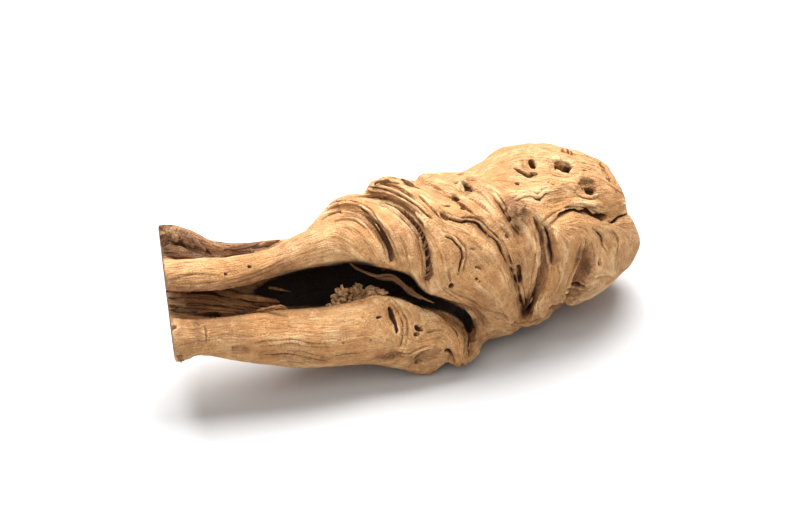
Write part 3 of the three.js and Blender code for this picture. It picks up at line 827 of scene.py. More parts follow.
STEM_FLOW = {
    "upper_stem": [(165, 279, -62), (240, 273, -53), (303, 252, -40), (362, 238, -24)],
    "lower_stem": [(172, 339, -60), (250, 338, -49), (330, 337, -32), (402, 334, -16), (455, 343, -5)],
    "ridge": [(163, 238, -33), (205, 248, -28), (275, 251, -15), (345, 232, 4)],
    "wall": [(165, 294, -27), (240, 292, -14), (300, 284, 0), (350, 276, 12)],
}
TWIST = 0.0105
LONG_AXIS = np.array([0.0, -7.0, 58.0])
STEM_STEP = 6.0
GUIDE_STEP = 4
GUIDE_REACH = 11.0
GUIDE_CHUNK = 20000
CROSSWISE = 0.5
CROSS_MARKS = ("ring_mark", "notch_mark", "notch_band")
TWIST_SHARE = 0.25
COMB_TAPS = 9
COMB_HEIGHT = 0.6


def twisted(points):
    """The slow turn of the vine about its long axis, far from any mark."""
    from_axis = (points - LONG_AXIS) * np.array([0.0, 1.0, 1.0])
    around = np.cross(np.array([1.0, 0.0, 0.0]), from_axis)
    return unit(np.array([1.0, 0.0, 0.0]) - around * TWIST)


def guides(traces):
    """Points and directions that the fibres follow: the traced folds and the stems' own axes."""
    places = []
    ways = []
    for name, points in traces.items():
        if name not in CROSS_MARKS:
            ways.append(tangents(points)[::GUIDE_STEP])
            places.append(points[::GUIDE_STEP])
    for path in STEM_FLOW.values():
        points = spline([seen(*place) for place in path], STEM_STEP)
        places.append(points)
        ways.append(tangents(points))
    places = np.vstack(places).astype(np.float32)
    ways = np.vstack(ways).astype(np.float32)
    ways[ways @ RIGHT < -CROSSWISE] *= -1
    return places, ways


def fibres(points, outward, guide):
    """The direction of the fibres at each point, along the surface."""
    flow = twisted(points).astype(np.float32)
    places, ways = guide
    for start in range(0, len(points), GUIDE_CHUNK):
        part = slice(start, start + GUIDE_CHUNK)
        here = points[part].astype(np.float32)
        away = (here ** 2).sum(1)[:, None] + (places ** 2).sum(1)[None] - 2 * here @ places.T
        weight = np.exp(-np.maximum(away, 0) / GUIDE_REACH ** 2)
        flow[part] = TWIST_SHARE * flow[part] + weight @ ways
    flow -= outward * np.einsum("ij,ij->i", flow, outward)[:, None]
    return unit(flow)


def combed(points, flow, size, length, values):
    """Noise drawn out along the fibres: the mean of what it is at points along them."""
    total = np.zeros(len(points), np.float32)
    for tap in np.linspace(-0.5, 0.5, COMB_TAPS):
        total += wander(points + flow * (tap * length), size, values)
    return total / math.sqrt(COMB_TAPS) * COMB_HEIGHT


# Meshes


def new_object(name, points, faces, smooth=True):
    """A mesh object from points in millimetres and faces as rows of vertex numbers."""
    mesh = bpy.data.meshes.new(name)
    mesh.vertices.add(len(points))
    mesh.vertices.foreach_set("co", (np.asarray(points) * MM).astype(np.float32).ravel())
    sizes = np.array([len(face) for face in faces], np.int32)
    corners = np.concatenate([np.asarray(face, np.int32) for face in faces])
    mesh.loops.add(len(corners))
    mesh.loops.foreach_set("vertex_index", corners)
    mesh.polygons.add(len(sizes))
    starts = np.concatenate([[0], np.cumsum(sizes)[:-1]]).astype(np.int32)
    mesh.polygons.foreach_set("loop_start", starts)
    mesh.update(calc_edges=True)
    mesh.validate()
    if smooth:
        mesh.shade_smooth()
    piece = bpy.data.objects.new(name, mesh)
    bpy.context.scene.collection.objects.link(piece)
    return piece


def mesh_of(grid, name):
    """The surface of a grid as a mesh object of squares."""
    level = openvdb.FloatGrid(float(BAND * grid.step))
    level.copyFromArray(grid.values)
    points, squares = level.convertToQuads(0.0)
    points = points * grid.step + grid.corner
    return new_object(name, points, squares[:, ::-1])


def thinned(piece, triangles):
    """Keeps about the given number of triangles, most of them where the surface bends."""
    thin = piece.modifiers.new("thin", "DECIMATE")
    piece.data.calc_loop_triangles()
    thin.ratio = min(1.0, triangles / len(piece.data.loop_triangles))
    graph = bpy.context.evaluated_depsgraph_get()
    mesh = bpy.data.meshes.new_from_object(piece.evaluated_get(graph))
    piece.modifiers.clear()
    piece.data = mesh
    mesh.name = piece.name
    mesh.shade_smooth()


def put_values(mesh, name, values):
    """Writes a number or a direction for each vertex, for the material to read."""
    values = np.asarray(values, np.float32)
    kind, field = ("FLOAT", "value") if values.ndim == 1 else ("FLOAT_VECTOR", "vector")
    held = mesh.attributes.new(name, kind, "POINT")
    held.data.foreach_set(field, values.ravel())


def finish_piece(piece, material):
    """Gives a piece its material and makes it part of the log."""
    piece.data.materials.clear()
    piece.data.materials.append(material)
    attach(piece, BODY)


@functools.cache
def ball():
    """A ball of radius 1, as its points and faces."""
    mesh = bmesh.new()
    bmesh.ops.create_icosphere(mesh, subdivisions=2, radius=1)
    points = np.array([vertex.co for vertex in mesh.verts])
    faces = [[vertex.index for vertex in face.verts] for face in mesh.faces]
    mesh.free()
    return points, np.array(faces)


STRIP_SIDES = 6


class Heap:
    """Many small closed shapes gathered into one mesh."""

    def __init__(self):
        self.points = []
        self.faces = []
        self.fibres = []
        self.tones = []
        self.count = 0

    def add(self, points, faces, fibre, tone):
        """Adds one shape, with its fibre direction and how dark it is at each point."""
        self.points.append(points)
        self.faces.extend([index + self.count for index in face] for face in faces)
        self.fibres.append(fibre)
        self.tones.append(tone)
        self.count += len(points)

    def strip(self, centres, facing, widths, thickness, tone):
        """Adds a flat strip along a row of centres. facing points out of its flat side."""
        along = tangents(centres)
        side = unit(np.cross(along, facing))
        out = np.cross(side, along)
        turns = np.arange(STRIP_SIDES) * (2 * math.pi / STRIP_SIDES)
        heights = np.minimum(thickness, widths)
        rings = (
            centres[:, None]
            + side[:, None] * (np.cos(turns)[None, :, None] * widths[:, None, None])
            + out[:, None] * (np.sin(turns)[None, :, None] * heights[:, None, None])
        )
        faces = [list(range(STRIP_SIDES))]
        for ring in range(len(centres) - 1):
            for k in range(STRIP_SIDES):
                a = ring * STRIP_SIDES + k
                b = ring * STRIP_SIDES + (k + 1) % STRIP_SIDES
                faces.append([a, a + STRIP_SIDES, b + STRIP_SIDES, b])
        last = (len(centres) - 1) * STRIP_SIDES
        faces.append([last + k for k in reversed(range(STRIP_SIDES))])
        count = len(centres) * STRIP_SIDES
        fibre = np.repeat(along, STRIP_SIDES, axis=0)
        self.add(rings.reshape(-1, 3), faces, fibre, np.full(count, tone))

    def piece(self, name, material):
        """Makes the whole heap one finished piece of the log."""
        piece = new_object(name, np.vstack(self.points), self.faces)
        put_values(piece.data, "fibre", np.vstack(self.fibres))
        put_values(piece.data, "shade", np.concatenate(self.tones))
        finish_piece(piece, material)


@dataclass
class Strand:
    """A loose strip of wood along places of the drawing: (across, down, near).

    near is how many millimetres it stands in front of the wood at its anchor. width and thickness
    are half sizes in millimetres, and turn leans its flat side at its start and end, in degrees.
    """

    anchor: tuple
    path: list
    width: float
    thickness: float = 0.45
    turn: tuple = (0, 0)
    tone: float = 0.0
    ragged: float = 0.35


STRAND_STEP = 1.2
STRAND_RISE = 0.16
STRAND_FALL = 0.3
CHIPS = 11
CHIPS_USED = 9
LEAST_WIDTH = 0.12
ROOT_DEPTH = 1.6


def rooting(place):
    """The move that brings a place to just inside the wood."""
    grid = front().grid
    held = grid.settle(place, SURFACE_REACH)
    return held - grid.outward(held, SURFACE_REACH) * ROOT_DEPTH - place


def lay_strands(name, strands, material, seed, rooted=False):
    """One piece of all the given strands, each moved to start inside the wood where rooted is set."""
    heap = Heap()
    draw = np.random.default_rng(seed)
    for strand in strands:
        depth = front().depth(*strand.anchor)
        places = spline(strand.path, STRAND_STEP)
        centres = np.array([seen(across, down, depth - near) for across, down, near in places])
        if rooted:
            centres = centres + rooting(centres[:1])
        part = np.linspace(0, 1, len(centres))
        rise = np.clip(part / STRAND_RISE, 0, 1)
        fall = np.clip((1 - part) / STRAND_FALL, 0, 1)
        chips = draw.uniform(-1, 1, CHIPS)
        chipped = 1 + strand.ragged * np.interp(part * CHIPS_USED, np.arange(CHIPS), chips)
        widths = strand.width * np.sqrt(rise * fall) * chipped + LEAST_WIDTH
        angle = np.radians(strand.turn[0] + (strand.turn[1] - strand.turn[0]) * part)
        side = unit(np.cross(tangents(centres), BACK))
        facing = -BACK * np.cos(angle)[:, None] + side * np.sin(angle)[:, None]
        heap.strip(centres, facing, widths, np.full(len(centres), strand.thickness), strand.tone)
    heap.piece(name, material)


# Materials


class Nodes:
    """Short ways to add nodes to a tree."""

    def __init__(self, tree):
        self.tree = tree

    def add(self, kind, **settings):
        """A new node with the given settings."""
        node = self.tree.nodes.new(kind)
        for name, value in settings.items():
            setattr(node, name, value)
        return node

    def put(self, socket, value):
        """Links or sets one input."""
        if isinstance(value, bpy.types.NodeSocket):
            self.tree.links.new(value, socket)
        else:
            socket.default_value = value

    def fill(self, node, values):
        """Links or sets some inputs by name."""
        for name, value in values.items():
            self.put(node.inputs[name], value)

    def math(self, operation, *values):
        """The result of a sum on numbers."""
        node = self.add("ShaderNodeMath", operation=operation)
        for socket, value in zip(node.inputs, values):
            self.put(socket, value)
        return node.outputs[0]

    def times(self, first, second):
        """The product of two numbers."""
        return self.math("MULTIPLY", first, second)

    def plus(self, first, second):
        """The sum of two numbers."""
        return self.math("ADD", first, second)

    def vector(self, operation, first, second=None, scale=None):
        """The result of a sum on vectors."""
        node = self.add("ShaderNodeVectorMath", operation=operation)
        self.put(node.inputs[0], first)
        if second is not None:
            self.put(node.inputs[1], second)
        if scale is not None:
            self.put(node.inputs["Scale"], scale)
        return node.outputs["Value" if operation in ("LENGTH", "DOT_PRODUCT") else "Vector"]

    def range(self, value, low, high):
        """0 to 1 as a value goes from low to high."""
        node = self.add("ShaderNodeMapRange", interpolation_type="SMOOTHSTEP")
        self.fill(node, {"Value": value, "From Min": low, "From Max": high})
        return node.outputs["Result"]

    def noise(self, vector, scale, detail=2.0, roughness=0.5, distortion=0.0):
        """Cloudy noise of the given scale."""
        node = self.add("ShaderNodeTexNoise")
        self.fill(node, {
            "Vector": vector, "Scale": scale, "Detail": detail,
            "Roughness": roughness, "Distortion": distortion,
        })
        return node.outputs["Fac"]

    def mix(self, share, first, second):
        """Two colours mixed."""
        node = self.add("ShaderNodeMix", data_type="RGBA")
        share_socket, first_socket, second_socket = (
            socket for socket in node.inputs if socket.enabled
        )
        self.put(share_socket, share)
        self.put(first_socket, first)
        self.put(second_socket, second)
        return next(socket for socket in node.outputs if socket.enabled)

    def attribute(self, name, output="Fac"):
        """A value that the mesh holds."""
        return self.add("ShaderNodeAttribute", attribute_name=name).outputs[output]

    def use(self, tree, **values):
        """A node group in its place, as its outputs."""
        node = self.add("ShaderNodeGroup", node_tree=tree)
        self.fill(node, values)
        return node.outputs


def group(name, inputs, outputs):
    """A new node group, as its helper, its inputs and its outputs."""
    tree = bpy.data.node_groups.new(name, "ShaderNodeTree")
    for label, kind, default in inputs:
        socket = tree.interface.new_socket(label, in_out="INPUT", socket_type=kind)
        if default is not None:
            socket.default_value = default
    for label in outputs:
        tree.interface.new_socket(label, in_out="OUTPUT", socket_type="NodeSocketFloat")
    nodes = Nodes(tree)
    return nodes, nodes.add("NodeGroupInput").outputs, nodes.add("NodeGroupOutput").inputs


GRAIN_TAPS = 9


@functools.cache
def combed_grain_group():
    """Streaks along the fibres: noise averaged at places along them."""
    nodes, given, out = group(
        "combed grain",
        [("Place", "NodeSocketVector", None), ("Fibre", "NodeSocketVector", None),
         ("Length", "NodeSocketFloat", 0.01), ("Scale", "NodeSocketFloat", 800.0)],
        ["Streaks", "Lines"],
    )
    total = None
    for k in range(GRAIN_TAPS):
        reach = nodes.times(given["Length"], k / (GRAIN_TAPS - 1) - 0.5)
        place = nodes.vector("ADD", given["Place"], nodes.vector("SCALE", given["Fibre"], scale=reach))
        streak = nodes.noise(place, given["Scale"], 1.0)
        total = streak if total is None else nodes.plus(total, streak)
    mean = nodes.times(total, 1 / GRAIN_TAPS)
    nodes.put(out["Streaks"], nodes.range(mean, 0.44, 0.56))
    nodes.put(out["Lines"], nodes.math("SUBTRACT", 1.0, nodes.range(mean, 0.41, 0.455)))
    return nodes.tree


@functools.cache
def stains_group():
    """Cloudy stains of age in two sizes, and dark specks."""
    nodes, given, out = group(
        "stains of age",
        [("Place", "NodeSocketVector", None), ("Scale", "NodeSocketFloat", 40.0)],
        ["Broad", "Small", "Specks"],
    )
    broad = nodes.noise(given["Place"], given["Scale"], 4.0, 0.55, 0.4)
    nodes.put(out["Broad"], nodes.range(broad, 0.38, 0.62))
    small = nodes.noise(given["Place"], nodes.times(given["Scale"], 4.5), 4.0, 0.62, 0.6)
    nodes.put(out["Small"], nodes.range(small, 0.42, 0.64))
    specks = nodes.noise(given["Place"], nodes.times(given["Scale"], 22.0), 2.0, 0.6)
    nodes.put(out["Specks"], nodes.range(specks, 0.62, 0.7))
    return nodes.tree


PITHS = [(150, 280, -63), (152, 338, -62)]
SAWN_FROM = -0.5
SAWN_TO = -0.15


def end_grain(nodes, place, colour, settings):
    """The colour with rings and rays on the flat that the saw left."""
    at, out = sawn_plane()
    from_flat = nodes.vector("SUBTRACT", place, tuple(at * MM))
    from_saw = nodes.vector("DOT_PRODUCT", from_flat, tuple(out))
    sawn = nodes.range(from_saw, SAWN_FROM * MM, SAWN_TO * MM)
    near = None
    for pith in PITHS:
        centre = seen(*pith)
        centre = centre + out * ((at - centre) @ out)
        away = nodes.vector("LENGTH", nodes.vector("SUBTRACT", place, tuple(centre * MM)))
        near = away if near is None else nodes.math("MINIMUM", near, away)
    waver = nodes.times(nodes.noise(place, 160.0, 3.0), 0.004)
    rings = nodes.add("ShaderNodeTexNoise", noise_dimensions="1D")
    nodes.fill(rings, {"W": nodes.plus(near, waver), "Scale": 750.0, "Detail": 2.0})
    rings = nodes.range(rings.outputs["Fac"], 0.4, 0.62)
    pores = nodes.range(nodes.noise(place, 1400.0, 2.0), 0.55, 0.66)
    end = nodes.mix(rings, tuple(settings.end_wood), tuple(settings.end_ring))
    end = nodes.mix(nodes.times(pores, 0.6), end, tuple(settings.crevice_wood))
    return nodes.mix(sawn, colour, end)


def wood_material(name, settings, tones, sawn=False):
    """Bare, sandblasted vine wood in three tones, light, warm and brown, with stains, and painted shade
    in crevices, valleys and the hollow.
    """
    material = bpy.data.materials.new(name)
    material.use_nodes = True
    nodes = Nodes(material.node_tree)
    nodes.tree.nodes.clear()
    light, warm, brown = (tuple(tone) for tone in tones)
    red = tuple(settings.red_wood)
    place = nodes.add("ShaderNodeTexCoord").outputs["Object"]
    fibre = nodes.attribute("fibre", "Vector")
    grain = combed_grain_group()
    fine = nodes.use(grain, Place=place, Fibre=fibre, Length=0.005, Scale=1300.0)
    broad = nodes.use(grain, Place=place, Fibre=fibre, Length=0.014, Scale=420.0)
    age = nodes.use(stains_group(), Place=place, Scale=42.0)
    blotches = nodes.use(stains_group(), Place=place, Scale=105.0)
    pores = nodes.noise(place, 1700.0, 2.0, 0.6)
    patchy = nodes.plus(0.26, nodes.times(broad["Streaks"], 0.56))
    # How strongly the stain patches, stains and painted shade, colour the wood.
    stain_and_shade_share = nodes.plus(0.62, nodes.times(nodes.plus(fine["Streaks"], age["Small"]), 0.25))
    barky = nodes.mix(fine["Streaks"], tuple(settings.bark), tuple(settings.bark_pale))
    colour = light
    for share, strength, over in (
        (age["Broad"], 1.0, warm),
        (broad["Streaks"], 0.7, warm),
        (age["Small"], patchy, brown),
        (fine["Streaks"], 0.5, brown),
        (blotches["Broad"], 0.42, brown),
        (nodes.range(pores, 0.52, 0.68), 0.42, brown),
        # Painted shade, tinted brown, round the valleys.
        (nodes.attribute("shade_halo"), 0.75, tuple(settings.shade_halo_wood)),
        (nodes.attribute("crest"), 0.55, tuple(settings.pale_edge)),
        (broad["Lines"], 0.7, red),
        (fine["Lines"], 0.3, red),
        # Stains, and painted shade in valleys and under the stems.
        (nodes.attribute("stain_and_shade"), stain_and_shade_share, red),
        (age["Specks"], 0.5, red),
        # Bark, and painted shade in bark colours in the cave, the cleft and the wall.
        (nodes.attribute("bark"), 0.95, barky),
        # Painted shade in the valleys.
        (nodes.attribute("shade"), 0.85, tuple(settings.shade_wood)),
        # Painted shade at the bottom of cracks.
        (nodes.attribute("crevice_shade"), 1.0, tuple(settings.crevice_wood)),
        # Painted shade inside the hollow.
        (nodes.attribute("hollow_shade"), 1.0, tuple(settings.hollow_shade)),
    ):
        colour = nodes.mix(nodes.times(share, strength), colour, over)
    if sawn:
        colour = end_grain(nodes, place, colour, settings)
    skin = nodes.add("ShaderNodeBsdfPrincipled")
    skin.inputs["Specular IOR Level"].default_value = 0.25
    height = nodes.plus(nodes.times(fine["Streaks"], 0.6), nodes.times(broad["Streaks"], 0.9))
    height = nodes.plus(height, nodes.plus(nodes.times(pores, 0.35), nodes.times(age["Small"], 0.35)))
    bump = nodes.add("ShaderNodeBump")
    bump.inputs["Strength"].default_value = 0.9
    bump.inputs["Distance"].default_value = 0.0007
    nodes.put(bump.inputs["Height"], height)
    nodes.fill(skin, {
        "Base Color": colour,
        "Roughness": nodes.plus(0.62, nodes.times(fine["Streaks"], 0.2)),
        "Normal": bump.outputs["Normal"],
    })
    nodes.put(nodes.add("ShaderNodeOutputMaterial").inputs["Surface"], skin.outputs["BSDF"])
    return material


# Settings


def tone(name, description, *colour):
    """A colour that a user may change."""
    return bpy.props.FloatVectorProperty(
        name=name, description=description, subtype="COLOR", size=4, default=(*colour, 1))


def length(name, description, default):
    """A length that a user may change, given in millimetres."""
    return bpy.props.FloatProperty(
        name=name, description=description, default=default * MM, unit="LENGTH", precision=5)


def number(name, description, default):
    """A number of things that a user may change."""
    return bpy.props.IntProperty(name=name, description=description, default=default)


def power(name, description, default):
    """The power of a light, which a user may change."""
    return bpy.props.FloatProperty(name=name, description=description, default=default, unit="POWER")


class WoodSettings(bpy.types.PropertyGroup):
    """Sizes and colours of the wood."""

    cell: length("Carving cell", "Side of a cell of the carving grid", 0.55)
    triangles: number("Triangles", "Most triangles of the carved wood", 192000)
    strand_height: length("Strand height", "How far the fibres stand out", 0.4)
    cracks: number("Small cracks", "Small cracks along the fibres, all round", 260)
    pits: number("Small pits", "Beetle holes and pits, all round", 60)
    light_wood: tone("Light wood", "Bare wood in the light", 0.82, 0.53, 0.265)
    warm_wood: tone("Warm wood", "Wood with more colour", 0.68, 0.36, 0.14)
    brown_wood: tone("Brown grain", "Darker lines of the grain", 0.40, 0.18, 0.064)
    # Also the colour of the painted shade among the stain patches.
    red_wood: tone("Red stain", "Stains and knots", 0.215, 0.09, 0.038)
    pale_edge: tone("Pale edges", "Worn edges of folds", 0.92, 0.64, 0.35)
    # Painted shade: the colour that valleys are darkened towards, where less light reaches.
    shade_wood: tone("Sheltered wood", "Wood in valleys", 0.135, 0.06, 0.026)
    # Painted shade, tinted brown, beside the valleys.
    shade_halo_wood: tone("Wood round valleys", "Browner wood beside the valleys", 0.42, 0.19, 0.068)
    # Painted shade at the bottom of cracks; also the colour of the pores on the sawn end.
    crevice_wood: tone("Crevices", "The bottom of cracks", 0.03, 0.012, 0.006)
    # Painted shade inside the hollow.
    hollow_shade: tone("Hollow", "The dark inside of the hollow", 0.008, 0.005, 0.004)
    bark: tone("Bark", "Old bark on the ridge", 0.12, 0.064, 0.038)
    bark_pale: tone("Torn bark", "Torn faces of the bark", 0.36, 0.19, 0.095)
    pith: tone("Pith", "Dry pith in the hollow", 0.80, 0.54, 0.29)
    end_wood: tone("Sawn end", "The sawn end between its rings", 0.36, 0.21, 0.12)
    end_ring: tone("Rings", "Rings on the sawn end", 0.17, 0.088, 0.048)


class StudioSettings(bpy.types.PropertyGroup):
    """The floor and the lights."""

    floor: tone("Floor", "Colour of the floor", 0.58, 0.58, 0.58)
    floor_side: length("Floor side", "Side of the square floor", 12000)
    key_power: power("Overhead light", "Power of the soft light above and behind", 60.0)
    key_side: length("Overhead size", "Side of the soft light above", 1500)
    fill_power: power("Front light", "Power of the wide light in front", 16.0)
    fill_side: length("Front size", "Side of the wide light in front", 1500)
    world_strength: bpy.props.FloatProperty(
        name="Room light", description="Strength of the even light around", default=0.34)


# Pieces

CARVED = "weathered_wood"
SAWN_LEAN = 0.94
SAWN_X = -0.14

# Small marks are seeded all over the wood. Sizes are in millimetres, and pairs are a least and a most.

MARK_SEED = 5
START_SPREAD = 2
PATH_LENGTHS = (8, 34)
PATH_STRIDE = 1.2
PATH_TURN = 0.16
SWAY = 0.25
SWAY_LENGTH = 5
SWAY_SHIFT = 9
LEAST_PATH = 4
SMALL_CRACK = ((0.6, 1.3), (0.8, 2.4), (-0.3, 0.3), (0.1, 0.6), (0, 0.4))
SMALL_SPREAD = 3.0
CLEAR_CRACK = 5
FACING = -0.15
FINE_WIDTH = 0.65
FINE_DEPTH = 0.9
PIT_SIZES = (0.7, 1.5)
PIT_LENGTHS = (1, 1.8)
PIT_DEPTHS = (1.2, 2.4)
CLEAR_PIT = 6

# Creases run beside the drawn folds and long cracks.

CREASE_WIDTH = 0.7
CREASE_DEPTH = 1.0
CREASE_LIP = 0.3
CREASE_SPREAD = 2.2
CREASE_SEED = 100
FOLD_CREASES = (-3.2, 1.9)
CRACK_CREASES = (2.8,)
CREASED_FROM = 30.0

# Fibre relief. A layer of lumps is (height, size, seed), and a layer of strands is
# (height, size, length, seed).

STRAND_LAYERS = ((1.0, 1.5, 12.0, 21), (0.8, 3.4, 26.0, 22), (1.9, 7.5, 44.0, 23))
LUMP_LAYERS = ((0.35, 6.0, 24),)
FLOW_REACH = 1.2
RELIEF_REACH = 0.8
CALM_AT_SAW = (0.2, 1.5)
CALM_AT_FEET = (0.1, 1.2)

# What the material reads. Reaches and depths are in millimetres, and shares are of wood nearby.

CLOSE_REACH = 1.1
AROUND_REACH = 2.2
WIDE_REACH = 4.4
CREVICE_SHARE = (0.56, 0.86)
CREVICE_DEPTH = (0.3, 1.4)
DEEP_DEPTH = (3.4, 5.6)
DEEP_STRENGTH = 0.9
CREVICE_LEAST = 0.8
CREVICE_LAYERS = ((0.2, 2.6, 33),)
SHADE_SHARE = (0.56, 0.84)
SHADE_HALO_SHARE = (0.5, 0.68)
CREST_SHARE = (0.43, 0.26)
STAIN_LAYERS = ((0.3, 3.0, 31), (0.2, 1.4, 32))
STAIN_EDGE = (1.3, 0.4)
HOLLOW_STEP = 3.0
HOLLOW_FLOOR = 9.0
HOLLOW_SHADE_EDGE = (1.15, 0.85)
HOLLOW_SHADE_STRENGTH = 0.985


@functools.cache
def sawn_plane():
    """The flat that the saw left, as a point in millimetres and an outward direction."""
    faces = NODE.data.polygons
    flats = [face for face in faces if face.normal.x < -SAWN_LEAN and face.center.x < SAWN_X]
    out = sum((face.normal * face.area for face in flats), Vector()).normalized()
    area = sum(face.area for face in flats)
    at = sum((face.center * face.area for face in flats), Vector()) / area
    return np.array(at) / MM, np.array(out)


def scattered_paths(grid, count, flow_of, draw):
    """Short paths along the fibres from seeded places all over the wood."""
    points = vertex_places(NODE.data)
    starts = points[draw.integers(0, len(points), count)]
    starts = grid.settle(starts + draw.normal(0, START_SPREAD, starts.shape), SURFACE_REACH)
    lengths = draw.uniform(*PATH_LENGTHS, count)
    turns = draw.normal(0, PATH_TURN, count)
    paths = [[start] for start in starts]
    heads = starts
    for walked in np.arange(0, lengths.max(), PATH_STRIDE):
        outward = grid.outward(heads, SURFACE_REACH)
        flow = flow_of(heads, outward)
        side = np.cross(outward, flow)
        bend = turns + SWAY * np.sin(walked / SWAY_LENGTH + SWAY_SHIFT * turns)
        heads = grid.settle(heads + (flow + side * bend[:, None]) * PATH_STRIDE, SURFACE_REACH)
        for path, head, reach in zip(paths, heads, lengths):
            if walked < reach:
                path.append(head)
    return [np.array(path) for path in paths if len(path) > LEAST_PATH]


def layered(points, layers):
    """Layers of noise added up at some points."""
    return sum(height * wander(points, size, lattice(seed)) for height, size, seed in layers)


def spread_of(stains, points):
    """How strongly some stains colour each point."""
    total = np.zeros(len(points))
    ragged = layered(points, STAIN_LAYERS)
    for stain_and_shade in stains.values():
        away = nearest(points, front().trace(stain_and_shade.path)) / stain_and_shade.reach + ragged
        total = np.maximum(total, stain_and_shade.strength * smooth_step(*STAIN_EDGE, away))
    return total


def hollow_shade_of(points):
    """How far each point lies in the painted shade inside the hollow."""
    across, down, depth = drawn(points)
    least = np.full(len(points), np.inf)
    for middle_across, middle_down, half in spline(HOLLOW, HOLLOW_STEP):
        floor = front().depth(middle_across, middle_down)
        away = np.hypot(across - middle_across, down - middle_down) / half
        least = np.minimum(least, np.where(depth < floor + HOLLOW_FLOOR, away, np.inf))
    return HOLLOW_SHADE_STRENGTH * smooth_step(*HOLLOW_SHADE_EDGE, least)


